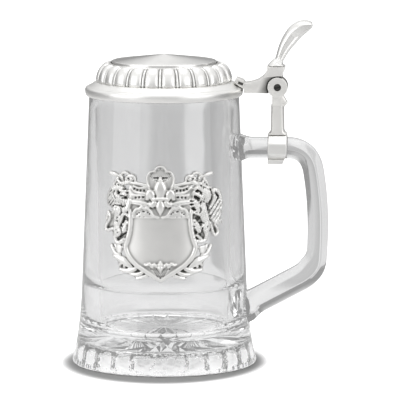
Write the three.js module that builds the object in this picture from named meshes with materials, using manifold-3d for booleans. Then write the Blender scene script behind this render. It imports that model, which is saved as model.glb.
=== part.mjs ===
// Half-litre glass stein with a hinged pewter lid, a pewter crest on the front and a loop handle.
// Millimetres, +Z up. The origin is the centre of the flat ring that the glass stands on.
// The handle and the lid's hinge lie towards +X, and the crest faces -Y.

import * as THREE from "three";
import { mergeVertices } from "three/addons/utils/BufferGeometryUtils.js";
import Module from "manifold-3d";

const wasm = await Module();
wasm.setup();

// Clearances
const SEAT_GAP = 0.3; // between pieces that rest on each other or are bonded
const RUNNING_GAP = 0.3; // beside and round the turning hinge faces
const PIN_GAP = 0.1; // round the hinge pin

// Glass body, one piece with its handle
const RIM_HEIGHT = 151.5;
const RIM_RADIUS = 42;
const RIM_WALL = 4;
const LIP_ROUND = 1.6;
const WAIST_HEIGHT = 38; // above it the wall tapers straight to the rim
const WAIST_RADIUS = 46.6;
const FLARE_HEIGHT = 14; // where the foot's flare turns outward
const FOOT_RADIUS = 51.7;
const FOOT_ROUND = 1.5;
const BORE_TAPER = 1.2; // the bore narrows this much from the rim to the floor
const FLOOR_HEIGHT = 18;
const FLOOR_ROUND = 9;

// Hollow under the foot, with flutes round its wall and a mitre-cut star in its ceiling
const FOOT_RING_WIDTH = 5.6; // of the flat ring that the glass stands on, between flutes
const HOLLOW_HEIGHT = 11.5;
const HOLLOW_DRAFT = 1; // the wall leans in this much
const HOLLOW_ROUND = 4;
const FLUTES = 24;
const FLUTE_DEPTH = 2.4;
const STAR_RAYS = 24;
const STAR_HUB_RADIUS = 3;
const STAR_MARGIN = 0.6; // from the rays' ends to the hollow's round
const STAR_DEPTH = 2.6;
const STAR_RAY_WIDTH = 5;

// Glass handle
const HANDLE_WIDTH = 15;
const HANDLE_BEVEL = 3.4;
const ARM_HEIGHT = 121.4; // centre of the level top arm
const ARM_THICKNESS = 11.5;
const GRIP_REACH = 91.7; // from the axis to the outside of the grip
const GRIP_BOW = 1.3;
const GRIP_LEAN = 4.5; // the top corner stands this far inside the grip's belly
const GRIP_TUCK = 0.8; // and the lower corner this far
const UPPER_BEND = 13;
const LOWER_ARM_THICKNESS = 14.3;
const LOWER_BEND = 11;
const LOWER_BEND_HEIGHT = 52.7;
const LOWER_ROOT_HEIGHT = 32.2; // where the lower arm meets the body
const SWELL_HEIGHT = 64; // below it the grip thickens to the lower arm
const ROOT_FLARE = 1.9;
const ROOT_FLARE_LENGTH = 9;

// Strap that holds the hinge to the handle
const STRAP_PLACE = 63.5; // from the axis to the strap, the shank and the hinge
const STRAP_WIDTH = 10.8;
const STRAP_LAP_WIDTH = 8.2;
const STRAP_THICKNESS = 1.3;
const STRAP_LAP_LENGTH = 12;

// Hinge
const HINGE_RISE = 4.3; // from the rim up to the hinge axis
const HINGE_WIDTH = 13;
const EAR_RADIUS = 5.6;
const KNUCKLE_WIDTH = 6;
const PIN_RADIUS = 1.95;
const PIN_SLOT_WIDTH = 0.8;
const PIN_SLOT_DEPTH = 0.9;
const PIN_SLOT_TILT = THREE.MathUtils.degToRad(14);
const POST_WIDTH = 7.4;
const POST_DEPTH = 10.4;
const POST_BEVEL = 1.1;
const POST_FOOT_FLARE = 1.6;
const POST_FOOT_HEIGHT = 2.6;
const NECK_DROP = 10.2; // from the hinge axis down to the step between neck and post
const NECK_WIDTH = 6;
const SPUR_REACH = 5.6;
const SPUR_DROP = 9;
const SPUR_WIDTH = 6;

// Lid casting
const LID_OVERHANG = 2.2; // past the rim
const LID_EDGE = 4.1; // height of the rounded edge
const LID_SLOPE_RISE = 2.7; // from the edge up to the foot of the lobes
const LID_WALL = 2.4;
const LOBES = 24;
const LOBE_FOOT_RADIUS = 38.2;
const LOBE_TOP_RADIUS = 31;
const LOBE_RISE = 10.4;
const LOBE_HEIGHT = 2;
const LOBE_OVERLAP = 1.05; // neighbouring lobes run into each other in a sharp groove
const DISC_RADIUS = 29.2;
const DISC_EDGE = 1.6;
const DISC_CROWN = 4.2;
const DISC_RECESS = 1.5;

// Tang, the arm from the lid to the knuckle, and the column that carries the thumblift
const TANG_DROP = 3.3; // from the hinge axis down to the arm's underside
const TANG_THICKNESS = 5.4;
const TANG_PAD_RISE = 1.9;
const TANG_PAD_LENGTH = 5;
const TANG_FILLET = 1;
const COLUMN_FRONT = 5.9;
const COLUMN_BACK = 4.1;
const COLUMN_RISE = 11.4;
const COLUMN_BACK_ANGLE = THREE.MathUtils.degToRad(60);

// Thumblift
const THUMB_REACH = 18.2;
const THUMB_RISE = 23.4;
const THUMB_THICKNESS = 8.2; // at its broad end
const THUMB_WIDTH = 12.4; // at its broad end
const THUMB_RECESS = 0.9;

// Crest, bonded to the front of the glass
const CREST_CENTRE = 84.5; // height of the crest's centre above the foot
const CREST_HEIGHT = 64;
const CREST_DRAWN_HEIGHT = 64; // the height that the ornament's own points are drawn to
const CREST_PLATE = 1.2;
const SHIELD_TIP = 0.4; // half width of the shield's point
const BOND_THICKNESS = 0.5;
const BEAD_WIDTH = 2;
const BEAD_HEIGHT = 2.1;

// How finely round forms are divided
const ROUND_STEPS = 48;
const SMALL_ROUND_STEPS = 24;
const HANDLE_STEPS = 42;
const CURVE_STEPS = 4;
const LOBE_STATIONS = 4;
const LOBE_SIDES = 5;
const FLUTE_SIDES = 4;
const HOLLOW_STEPS = 2; // in the hollow's round
const RIB_STEPS = 2; // between neighbouring points of a raised rib
const PLATE_STEP = 6; // widest facet of a plate bent round the glass

const MERGE_DISTANCE = 1e-4;

// Places that follow from the sizes above
const wallSlope = (WAIST_RADIUS - RIM_RADIUS) / (RIM_HEIGHT - WAIST_HEIGHT);
const boreRimRadius = RIM_RADIUS - RIM_WALL;
const hollowRadius = FOOT_RADIUS - FOOT_ROUND - FOOT_RING_WIDTH;
const starRadius = hollowRadius - HOLLOW_DRAFT - HOLLOW_ROUND - STAR_MARGIN;
const lidBottom = RIM_HEIGHT + SEAT_GAP;
const lidRadius = RIM_RADIUS + LID_OVERHANG;
const lidShoulder = lidBottom + LID_EDGE;
const lobeFoot = lidShoulder + LID_SLOPE_RISE;
const lidTop = lobeFoot + LOBE_RISE;
const discRecessRadius = DISC_RADIUS + SEAT_GAP;
const hingeHeight = RIM_HEIGHT + HINGE_RISE;
const columnTop = hingeHeight + COLUMN_RISE;
const strapTop = ARM_HEIGHT + ARM_THICKNESS / 2 + SEAT_GAP + STRAP_THICKNESS;
const pocketRadius = EAR_RADIUS + RUNNING_GAP;
const crestScale = CREST_HEIGHT / CREST_DRAWN_HEIGHT;

// Outer radius of the straight wall at a height
function wallRadius(z) {
  return RIM_RADIUS + wallSlope * (RIM_HEIGHT - z);
}

// A solid from a closed geometry, with shared corners merged and faces turned outward
function solid(geometry) {
  const bare = new THREE.BufferGeometry();
  bare.setAttribute("position", geometry.getAttribute("position"));
  bare.setIndex(geometry.getIndex());
  const merged = mergeVertices(bare, MERGE_DISTANCE);
  const corners = merged.getIndex().array;
  const place = merged.getAttribute("position");
  const [a, b, c] = [new THREE.Vector3(), new THREE.Vector3(), new THREE.Vector3()];
  const triangles = [];
  let volume = 0;
  for (let i = 0; i < corners.length; i += 3) {
    const [p, q, r] = [corners[i], corners[i + 1], corners[i + 2]];
    if (p === q || q === r || r === p) continue;
    triangles.push([p, q, r]);
    a.fromBufferAttribute(place, p);
    b.fromBufferAttribute(place, q);
    c.fromBufferAttribute(place, r);
    volume += a.dot(b.cross(c));
  }
  const outward = volume > 0 ? triangles : triangles.map(([p, q, r]) => [p, r, q]);
  return new wasm.Manifold(
    new wasm.Mesh({
      numProp: 3,
      vertProperties: new Float32Array(place.array),
      triVerts: new Uint32Array(outward.flat()),
    }),
  );
}

function union(solids) {
  return solids.reduce((whole, next) => whole.add(next));
}

// A solid turned about Z from a path whose x is the radius and y the height
function revolve(path, steps = ROUND_STEPS, curveSteps = CURVE_STEPS) {
  const lathe = new THREE.LatheGeometry(path.getPoints(curveSteps), steps);
  return solid(lathe.rotateX(Math.PI / 2));
}

// A solid from a shape in the XZ plane, given its width along Y and centred there
function plank(shape, width, centre = 0) {
  const options = { depth: width, bevelEnabled: false, curveSegments: SMALL_ROUND_STEPS / 2 };
  const geometry = new THREE.ExtrudeGeometry(shape, options);
  return solid(geometry.rotateX(Math.PI / 2).translate(0, centre + width / 2, 0));
}

// A round bar along Y through the hinge axis
function hingeBar(radius, width, centre = 0) {
  const bar = new THREE.CylinderGeometry(radius, radius, width, SMALL_ROUND_STEPS);
  return solid(bar.translate(STRAP_PLACE, centre, 0).translate(0, 0, hingeHeight));
}

// A solid skinned over rings of equal count, closed at both ends
function loft(rings) {
  const sides = rings[0].length;
  const points = rings.flat();
  const triangles = [];
  for (let i = 0; i + 1 < rings.length; i += 1) {
    for (let k = 0; k < sides; k += 1) {
      const next = (k + 1) % sides;
      const [a, b] = [i * sides + k, i * sides + next];
      triangles.push(a, b, b + sides, a, b + sides, a + sides);
    }
  }
  const middle = (ring) => ring.reduce((sum, p) => sum.add(p), new THREE.Vector3()).divideScalar(sides);
  const lastStart = (rings.length - 1) * sides;
  const [first, last] = [points.length, points.length + 1];
  points.push(middle(rings[0]), middle(rings[rings.length - 1]));
  for (let k = 0; k < sides; k += 1) {
    const next = (k + 1) % sides;
    triangles.push(first, next, k, last, lastStart + k, lastStart + next);
  }
  const geometry = new THREE.BufferGeometry().setFromPoints(points);
  geometry.setIndex(triangles);
  return geometry;
}

// Corners of a rectangle with bevelled corners, as [across, along] pairs
function bevelledRectangle(halfAcross, halfAlong, bevel) {
  const [a, b] = [halfAcross - bevel, halfAlong - bevel];
  return [
    [halfAcross, -b],
    [halfAcross, b],
    [a, halfAlong],
    [-a, halfAlong],
    [-halfAcross, b],
    [-halfAcross, -b],
    [-a, -halfAlong],
    [a, -halfAlong],
  ];
}

// The same rectangle grown outward by a distance keeps its bevels parallel
function grownBevel(bevel, distance) {
  return bevel + distance * (2 - Math.SQRT2);
}

// Glass

function bodyOutline() {
  const path = new THREE.Path();
  const flareRadius = WAIST_RADIUS + (FOOT_RADIUS - WAIST_RADIUS) / 3;
  path.moveTo(0, 0);
  path.lineTo(FOOT_RADIUS - FOOT_ROUND, 0);
  path.quadraticCurveTo(FOOT_RADIUS, 0, FOOT_RADIUS, FOOT_ROUND);
  path.quadraticCurveTo(flareRadius, FLARE_HEIGHT, WAIST_RADIUS, WAIST_HEIGHT);
  path.lineTo(RIM_RADIUS, RIM_HEIGHT - LIP_ROUND);
  path.quadraticCurveTo(RIM_RADIUS, RIM_HEIGHT, RIM_RADIUS - LIP_ROUND, RIM_HEIGHT);
  path.lineTo(0, RIM_HEIGHT);
  return path;
}

function boreOutline() {
  const floorRadius = boreRimRadius - BORE_TAPER;
  const path = new THREE.Path();
  path.moveTo(0, FLOOR_HEIGHT);
  path.lineTo(floorRadius - FLOOR_ROUND, FLOOR_HEIGHT);
  path.quadraticCurveTo(floorRadius, FLOOR_HEIGHT, floorRadius, FLOOR_HEIGHT + FLOOR_ROUND);
  path.lineTo(boreRimRadius, RIM_HEIGHT - LIP_ROUND);
  path.lineTo(boreRimRadius + LIP_ROUND / 2, RIM_HEIGHT);
  path.lineTo(boreRimRadius + LIP_ROUND / 2, RIM_HEIGHT + LIP_ROUND);
  path.lineTo(0, RIM_HEIGHT + LIP_ROUND);
  return path;
}

// The flutes run out where the hollow's wall rounds into its ceiling
function footHollow() {
  const count = FLUTES * FLUTE_SIDES;
  const ring = (radius, depth, z) =>
    Array.from({ length: count }, (unused, k) => {
      const angle = (k * 2 * Math.PI) / count;
      const reach = radius + (depth * (1 + Math.cos(FLUTES * angle))) / 2;
      return new THREE.Vector3(reach * Math.cos(angle), reach * Math.sin(angle), z);
    });
  const rings = [ring(hollowRadius, FLUTE_DEPTH, -FOOT_ROUND)];
  for (let i = 0; i <= HOLLOW_STEPS; i += 1) {
    const turn = (i * Math.PI) / (2 * HOLLOW_STEPS);
    const radius = hollowRadius - HOLLOW_DRAFT - HOLLOW_ROUND * (1 - Math.cos(turn));
    const z = HOLLOW_HEIGHT - HOLLOW_ROUND * (1 - Math.sin(turn));
    rings.push(ring(radius, FLUTE_DEPTH * Math.cos(turn), z));
  }
  return solid(loft(rings));
}

// Mitre cuts in the hollow's ceiling
function starRays() {
  const length = starRadius - STAR_HUB_RADIUS;
  const ray = new THREE.OctahedronGeometry(1);
  ray.scale(length / 2, STAR_RAY_WIDTH / 2, STAR_DEPTH);
  ray.translate(STAR_HUB_RADIUS + length / 2, 0, HOLLOW_HEIGHT);
  const turned = (k) => ray.clone().rotateZ((k * 2 * Math.PI) / STAR_RAYS);
  return Array.from({ length: STAR_RAYS }, (unused, k) => solid(turned(k)));
}

function handleCentreline() {
  const belly = GRIP_REACH - ARM_THICKNESS / 2;
  const upper = new THREE.Vector2(belly - GRIP_LEAN, ARM_HEIGHT);
  const lower = new THREE.Vector2(belly - GRIP_TUCK, LOWER_BEND_HEIGHT);
  const bow = new THREE.Vector2(belly + GRIP_BOW, (ARM_HEIGHT + LOWER_BEND_HEIGHT) / 2);
  const root = new THREE.Vector2(wallRadius(LOWER_ROOT_HEIGHT), LOWER_ROOT_HEIGHT);
  const towards = (from, to, distance) => to.clone().sub(from).setLength(distance).add(from);
  const gripTop = towards(upper, bow, UPPER_BEND);
  const gripFoot = towards(lower, bow, LOWER_BEND);
  const armFoot = towards(lower, root, LOWER_BEND);
  const inside = towards(root, lower, -RIM_WALL);
  const path = new THREE.Path();
  path.moveTo(boreRimRadius, ARM_HEIGHT);
  path.lineTo(upper.x - UPPER_BEND, ARM_HEIGHT);
  path.quadraticCurveTo(upper.x, upper.y, gripTop.x, gripTop.y);
  path.quadraticCurveTo(bow.x, bow.y, gripFoot.x, gripFoot.y);
  path.quadraticCurveTo(lower.x, lower.y, armFoot.x, armFoot.y);
  path.lineTo(inside.x, inside.y);
  return path.getSpacedPoints(HANDLE_STEPS);
}

function handle() {
  const line = handleCentreline();
  const rings = line.map((point, i) => {
    const before = line[Math.max(i - 1, 0)];
    const after = line[Math.min(i + 1, line.length - 1)];
    const along = after.clone().sub(before).normalize();
    const swell = THREE.MathUtils.smoothstep(SWELL_HEIGHT - point.y, 0, SWELL_HEIGHT - LOWER_BEND_HEIGHT);
    const outside = Math.max(point.x - wallRadius(point.y), 0);
    const flare = ROOT_FLARE * Math.max(1 - outside / ROOT_FLARE_LENGTH, 0) ** 2;
    const thickness = THREE.MathUtils.lerp(ARM_THICKNESS, LOWER_ARM_THICKNESS, swell);
    const section = bevelledRectangle(thickness / 2 + flare, HANDLE_WIDTH / 2 + flare, HANDLE_BEVEL);
    return section.map(
      ([across, y]) => new THREE.Vector3(point.x - along.y * across, y, point.y + along.x * across),
    );
  });
  return solid(loft(rings));
}

function glassTankard() {
  const filled = revolve(bodyOutline()).add(handle());
  const hollowed = filled.subtract(revolve(boreOutline())).subtract(footHollow());
  return starRays().reduce((glass, ray) => glass.subtract(ray), hollowed);
}

// Strap round the handle

function strapSection(grow) {
  const bevel = grownBevel(HANDLE_BEVEL, grow);
  const section = bevelledRectangle(ARM_THICKNESS / 2 + grow, HANDLE_WIDTH / 2 + grow, bevel);
  const place = (x) => section.map(([z, y]) => new THREE.Vector3(x, y, ARM_HEIGHT + z));
  return solid(loft([place(STRAP_PLACE - STRAP_WIDTH), place(STRAP_PLACE + STRAP_WIDTH)]));
}

function handleStrap() {
  const outer = SEAT_GAP + STRAP_THICKNESS;
  const underside = ARM_HEIGHT - ARM_THICKNESS / 2 - outer;
  const lapFoot = underside - STRAP_THICKNESS;
  const front = STRAP_PLACE - STRAP_WIDTH / 2;
  const taper = new THREE.Shape();
  taper.moveTo(front, strapTop);
  taper.lineTo(front, lapFoot);
  taper.lineTo(front + STRAP_LAP_WIDTH, lapFoot);
  taper.lineTo(front + STRAP_WIDTH, ARM_HEIGHT - ARM_THICKNESS / 4);
  taper.lineTo(front + STRAP_WIDTH, strapTop);
  const lap = new THREE.BoxGeometry(STRAP_WIDTH, STRAP_LAP_LENGTH, 2 * STRAP_THICKNESS);
  lap.translate(STRAP_PLACE, -STRAP_THICKNESS, underside);
  const band = strapSection(outer).add(solid(lap)).subtract(strapSection(SEAT_GAP));
  return band.intersect(plank(taper, 2 * HANDLE_WIDTH));
}

// Hinge

function shankPost() {
  const foot = strapTop + SEAT_GAP;
  const step = hingeHeight - NECK_DROP;
  const levels = [
    [foot, POST_WIDTH / 2 + POST_FOOT_FLARE],
    [foot + POST_FOOT_HEIGHT / 3, POST_WIDTH / 2 + POST_FOOT_FLARE / 2],
    [foot + POST_FOOT_HEIGHT, POST_WIDTH / 2],
    [step - POST_BEVEL / 2, POST_WIDTH / 2],
    [step + POST_BEVEL / 2, NECK_WIDTH / 2],
  ];
  const rings = levels.map(([z, half]) =>
    bevelledRectangle(half, POST_DEPTH / 2, POST_BEVEL).map(
      ([x, y]) => new THREE.Vector3(STRAP_PLACE + x, y, z),
    ),
  );
  return solid(loft(rings));
}

function hingeShank() {
  const neck = new THREE.Shape();
  const meet = Math.sqrt(EAR_RADIUS ** 2 - (NECK_WIDTH / 2) ** 2);
  neck.moveTo(STRAP_PLACE - NECK_WIDTH / 2, hingeHeight - NECK_DROP);
  neck.lineTo(STRAP_PLACE + NECK_WIDTH / 2, hingeHeight - NECK_DROP);
  neck.lineTo(STRAP_PLACE + NECK_WIDTH / 2, hingeHeight - meet / 2);
  neck.lineTo(STRAP_PLACE - NECK_WIDTH / 2, hingeHeight - meet / 2);
  const spur = new THREE.Shape();
  spur.moveTo(STRAP_PLACE, hingeHeight - meet);
  spur.lineTo(STRAP_PLACE + NECK_WIDTH / 2, hingeHeight - meet);
  spur.lineTo(STRAP_PLACE + SPUR_REACH, hingeHeight - SPUR_DROP);
  spur.lineTo(STRAP_PLACE + POST_WIDTH / 2, hingeHeight - NECK_DROP - POST_BEVEL);
  spur.lineTo(STRAP_PLACE, hingeHeight - NECK_DROP - POST_BEVEL);
  const slotWidth = KNUCKLE_WIDTH + 2 * RUNNING_GAP;
  const mouth = new THREE.BoxGeometry(4 * EAR_RADIUS, slotWidth, 2 * EAR_RADIUS);
  mouth.translate(STRAP_PLACE, 0, hingeHeight + EAR_RADIUS / 2);
  return hingeBar(EAR_RADIUS, HINGE_WIDTH)
    .add(plank(neck, HINGE_WIDTH))
    .add(shankPost())
    .add(plank(spur, SPUR_WIDTH))
    .subtract(hingeBar(pocketRadius, slotWidth))
    .subtract(solid(mouth))
    .subtract(hingeBar(PIN_RADIUS + PIN_GAP, 2 * HINGE_WIDTH));
}

function hingePin() {
  const slot = new THREE.BoxGeometry(4 * PIN_RADIUS, 2 * PIN_SLOT_DEPTH, PIN_SLOT_WIDTH);
  slot.rotateY(-PIN_SLOT_TILT).translate(STRAP_PLACE, -HINGE_WIDTH / 2, hingeHeight);
  return hingeBar(PIN_RADIUS, HINGE_WIDTH).subtract(solid(slot));
}

// Lid

// Outer line of the lobes in the radial plane, from their foot to their top
function lobeLine(share, sunk = 0) {
  const angle = (share * Math.PI) / 2;
  const depth = LOBE_FOOT_RADIUS - LOBE_TOP_RADIUS;
  const radius = LOBE_TOP_RADIUS + (depth - sunk) * Math.cos(angle);
  const height = lobeFoot + (LOBE_RISE - sunk) * Math.sin(angle);
  return new THREE.Vector2(radius, height);
}

function lidOutline() {
  const crownUnderside = lidTop - DISC_RECESS - LID_WALL;
  const path = new THREE.Path();
  path.moveTo(0, crownUnderside);
  path.lineTo(LOBE_TOP_RADIUS - LOBE_HEIGHT - LID_WALL, crownUnderside);
  path.quadraticCurveTo(
    LOBE_FOOT_RADIUS - LOBE_HEIGHT - LID_WALL,
    crownUnderside,
    LOBE_FOOT_RADIUS - LOBE_HEIGHT - LID_WALL,
    lobeFoot - LID_WALL,
  );
  path.lineTo(boreRimRadius - LID_WALL / 2, lidBottom);
  path.lineTo(lidRadius - LID_EDGE / 2, lidBottom);
  const [edgeRadius, quarterTurn] = [LID_EDGE / 2, Math.PI / 2];
  path.absarc(lidRadius - edgeRadius, lidBottom + edgeRadius, edgeRadius, -quarterTurn, quarterTurn);
  path.lineTo(LOBE_FOOT_RADIUS - LOBE_HEIGHT, lobeFoot);
  [1 / 3, 2 / 3].forEach((share) => {
    const point = lobeLine(share, LOBE_HEIGHT);
    path.lineTo(point.x, point.y);
  });
  path.lineTo(LOBE_TOP_RADIUS, lidTop - LOBE_HEIGHT);
  path.lineTo(LOBE_TOP_RADIUS, lidTop);
  path.lineTo(discRecessRadius, lidTop);
  path.lineTo(discRecessRadius, lidTop - DISC_RECESS);
  path.lineTo(0, lidTop - DISC_RECESS);
  return path;
}

// One gadroon lobe: a half-round rib that widens from its top to its foot
function lobe() {
  const [start, end] = [-0.06, 1.06]; // both ends run on into the casting
  const rings = [];
  for (let i = 0; i <= LOBE_STATIONS; i += 1) {
    const share = THREE.MathUtils.lerp(start, end, i / LOBE_STATIONS);
    const ridge = lobeLine(share);
    const valley = lobeLine(share, LOBE_HEIGHT);
    const halfPitch = (ridge.x * Math.PI) / LOBES;
    const ring = [];
    for (let k = 0; k <= LOBE_SIDES; k += 1) {
      const angle = (k * Math.PI) / LOBE_SIDES;
      const point = valley.clone().lerp(ridge, Math.sin(angle));
      ring.push(new THREE.Vector3(point.x, LOBE_OVERLAP * halfPitch * Math.cos(angle), point.y));
    }
    const sunk = lobeLine(share, LOBE_HEIGHT + LID_WALL / 3);
    ring.push(new THREE.Vector3(sunk.x, -LOBE_OVERLAP * halfPitch, sunk.y));
    ring.push(new THREE.Vector3(sunk.x, LOBE_OVERLAP * halfPitch, sunk.y));
    rings.push(ring);
  }
  return loft(rings);
}

function lidCasting() {
  const rib = lobe();
  const turn = (k) => rib.clone().rotateZ(((k + 0.5) * 2 * Math.PI) / LOBES);
  const ribs = Array.from({ length: LOBES }, (unused, k) => solid(turn(k)));
  return revolve(lidOutline(), ROUND_STEPS, CURVE_STEPS / 2).add(union(ribs));
}

function lidDisc() {
  const foot = lidTop - DISC_RECESS + SEAT_GAP;
  const edge = foot + DISC_EDGE;
  const path = new THREE.Path();
  path.moveTo(0, foot);
  path.lineTo(DISC_RADIUS, foot);
  path.lineTo(DISC_RADIUS, edge - DISC_EDGE / 3);
  path.lineTo(DISC_RADIUS - DISC_EDGE / 3, edge);
  path.quadraticCurveTo(DISC_RADIUS / 2, edge + DISC_CROWN, 0, edge + DISC_CROWN);
  return revolve(path);
}

// Height of the lid's sloping shoulder at a radius
function shoulderHeight(radius) {
  const outer = lidRadius - LID_EDGE / 2;
  return lidShoulder + (LID_SLOPE_RISE * (outer - radius)) / (outer - LOBE_FOOT_RADIUS);
}

function lidTang() {
  const padStart = LOBE_FOOT_RADIUS + 2 * SEAT_GAP;
  const padEnd = padStart + TANG_PAD_LENGTH;
  const shoulderEnd = lidRadius - LID_EDGE / 2;
  const clear = lidRadius + 2 * SEAT_GAP;
  const armFoot = hingeHeight - TANG_DROP;
  const armTop = armFoot + TANG_THICKNESS;
  const hingeFoot = Math.asin(TANG_DROP / EAR_RADIUS);
  const shape = new THREE.Shape();
  shape.moveTo(padStart, shoulderHeight(padStart) + SEAT_GAP);
  shape.lineTo(shoulderEnd, lidShoulder + SEAT_GAP);
  shape.lineTo(clear, lidShoulder - LID_EDGE / 4);
  shape.lineTo(clear, armFoot);
  const [turnFrom, turnTo] = [Math.PI + hingeFoot, 2 * Math.PI + COLUMN_BACK_ANGLE];
  shape.absarc(STRAP_PLACE, hingeHeight, EAR_RADIUS, turnFrom, turnTo);
  shape.lineTo(STRAP_PLACE + COLUMN_BACK, columnTop);
  shape.lineTo(STRAP_PLACE - COLUMN_FRONT, columnTop);
  shape.quadraticCurveTo(
    STRAP_PLACE - COLUMN_FRONT - TANG_DROP / 2,
    armTop + TANG_FILLET,
    padEnd + TANG_FILLET,
    armTop,
  );
  shape.lineTo(padEnd, armTop + TANG_PAD_RISE);
  shape.lineTo(padStart, shoulderHeight(padStart) + SEAT_GAP + TANG_PAD_RISE);
  const pocketWidth = (HINGE_WIDTH - KNUCKLE_WIDTH) / 2;
  const pocketCentre = KNUCKLE_WIDTH / 2 + pocketWidth;
  return plank(shape, HINGE_WIDTH)
    .subtract(hingeBar(pocketRadius, 2 * pocketWidth, pocketCentre))
    .subtract(hingeBar(pocketRadius, 2 * pocketWidth, -pocketCentre))
    .subtract(hingeBar(PIN_RADIUS + PIN_GAP, 2 * HINGE_WIDTH));
}

// A lever that rises from the column and curls back over the handle. Each station gives its share
// of the reach, the rise, the thickness, the width and the depth of the panels sunk in its sides.
function thumblift() {
  const stations = [
    [0, 0, 1.15, 0.9, 0],
    [0.02, 0.05, 0.8, 0.7, 0],
    [0.08, 0.115, 0.56, 0.58, 0],
    [0.1, 0.16, 0.52, 0.53, 0.4],
    [0.22, 0.38, 0.72, 0.52, 1],
    [0.31, 0.52, 0.85, 0.58, 1],
    [0.43, 0.65, 0.96, 0.68, 1],
    [0.54, 0.78, 0.98, 0.78, 0.7],
    [0.66, 0.87, 1, 0.9, 0],
    [0.82, 0.94, 0.9, 1, 0],
    [0.99, 0.985, 0.62, 1, 0],
    [1.08, 1, 0.35, 0.9, 0],
  ];
  const start = new THREE.Vector2(STRAP_PLACE - (COLUMN_FRONT - COLUMN_BACK) / 2, columnTop + SEAT_GAP);
  const line = stations.map(
    ([reach, rise]) => new THREE.Vector2(start.x + reach * THUMB_REACH, start.y + rise * THUMB_RISE),
  );
  const rings = stations.map(([, , thick, wide, sunk], i) => {
    const before = line[Math.max(i - 1, 0)];
    const after = line[Math.min(i + 1, line.length - 1)];
    const along = i === 0 ? new THREE.Vector2(0, 1) : after.clone().sub(before).normalize();
    const half = (wide * THUMB_WIDTH) / 2;
    const panel = half - sunk * THUMB_RECESS;
    // From the rounded front to the back, as shares of the thickness
    const side = [
      [-0.5, 0.35 * half],
      [-0.36, 0.78 * half],
      [-0.16, half],
      [-0.1, panel],
      [0.28, panel],
      [0.34, half],
      [0.5, 0.9 * half],
    ];
    const section = [...side, ...side.map(([share, y]) => [share, -y]).reverse()];
    return section.map(([share, y]) => {
      const across = share * thick * THUMB_THICKNESS;
      return new THREE.Vector3(line[i].x + along.y * across, y, line[i].y - along.x * across);
    });
  });
  return solid(loft(rings));
}

// Crest: points are given as across and up from its centre, then bent round the glass, so that
// lengths across hold at the height of the shield's bead

const bondFoot = SEAT_GAP;
const crestFoot = bondFoot + BOND_THICKNESS + SEAT_GAP;

function onWall(across, up, proud) {
  const z = CREST_CENTRE + up * crestScale;
  const radius = wallRadius(z) + proud;
  const angle = (across * crestScale) / (wallRadius(CREST_CENTRE) + crestFoot + BEAD_HEIGHT);
  return new THREE.Vector3(radius * Math.sin(angle), -radius * Math.cos(angle), z);
}

// A plate between left and right edges given row by row from the top: [up, left, right]
function curvedPlate(rows, foot, thickness) {
  const columns = Math.ceil(Math.max(...rows.map(([, left, right]) => right - left)) / PLATE_STEP);
  const rings = rows.map(([up, left, right]) => {
    const place = (unused, k) => THREE.MathUtils.lerp(left, right, k / columns);
    const across = Array.from({ length: columns + 1 }, place);
    const front = across.map((u) => onWall(u, up, foot + thickness));
    const back = across.map((u) => onWall(u, up, foot)).reverse();
    return [...front, ...back];
  });
  const sides = rings[0].length;
  const skin = loft(rings);
  // The end rows are narrow strips, so they are closed across and not to a middle point
  const index = Array.from(skin.getIndex().array).slice(0, (rings.length - 1) * sides * 6);
  const lastStart = (rings.length - 1) * sides;
  for (let k = 0; k < columns; k += 1) {
    const mate = sides - 1 - k;
    index.push(k, mate, mate - 1, k, mate - 1, k + 1);
    const [a, b] = [lastStart + k, lastStart + mate];
    index.push(a, b - 1, b, a, a + 1, b - 1);
  }
  skin.setIndex(index);
  return solid(skin);
}

// Relief starts behind the crest's back, so that cutting the back leaves it clean
function reliefHeight(height) {
  return height > 0 ? crestFoot + height : 0;
}

// A raised rib along hand-set points: [across, up, half width, height]
function rib(points, stepsPerSpan = RIB_STEPS) {
  const line = new THREE.CatmullRomCurve3(points.map(([u, v]) => new THREE.Vector3(u, v, 0)));
  const size = new THREE.CatmullRomCurve3(points.map(([, , w, h]) => new THREE.Vector3(w, h, 0)));
  const count = stepsPerSpan * (points.length - 1);
  const section = [
    [-1, 0],
    [-0.6, 0.9],
    [0.6, 0.9],
    [1, 0],
  ];
  const rings = [];
  for (let i = 0; i <= count; i += 1) {
    const at = line.getPoint(i / count);
    const along = line.getTangent(i / count);
    const { x: width, y: height } = size.getPoint(i / count);
    rings.push(
      section.map(([side, rise]) =>
        onWall(at.x - along.y * width * side, at.y + along.x * width * side, reliefHeight(height * rise)),
      ),
    );
  }
  return solid(loft(rings));
}

function mirrored(points) {
  return points.map(([u, ...rest]) => [-u, ...rest]);
}

// Right-hand edge of the shield, from its top corner to its point
function shieldEdge() {
  const path = new THREE.Path();
  path.moveTo(16.8, 12.5);
  path.lineTo(17.2, -2.5);
  path.bezierCurveTo(17.4, -6.5, 20.9, -9.5, 21.2, -14);
  path.bezierCurveTo(21.5, -19, 12, -24.5, SHIELD_TIP, -31.9);
  return path.getPoints(CURVE_STEPS);
}

function shield() {
  const edge = shieldEdge();
  const plate = curvedPlate(
    edge.map((p) => [p.y, -p.x, p.x]),
    0,
    crestFoot + CREST_PLATE,
  );
  const bead = edge.slice(0, -1).map((p) => [p.x - BEAD_WIDTH / 2, p.y, BEAD_WIDTH / 2, BEAD_HEIGHT]);
  const tip = [0, edge[edge.length - 1].y + BEAD_WIDTH, BEAD_WIDTH / 2, BEAD_HEIGHT];
  return [plate, rib([...bead, tip], 1), rib([...mirrored(bead), tip], 1)];
}

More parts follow.
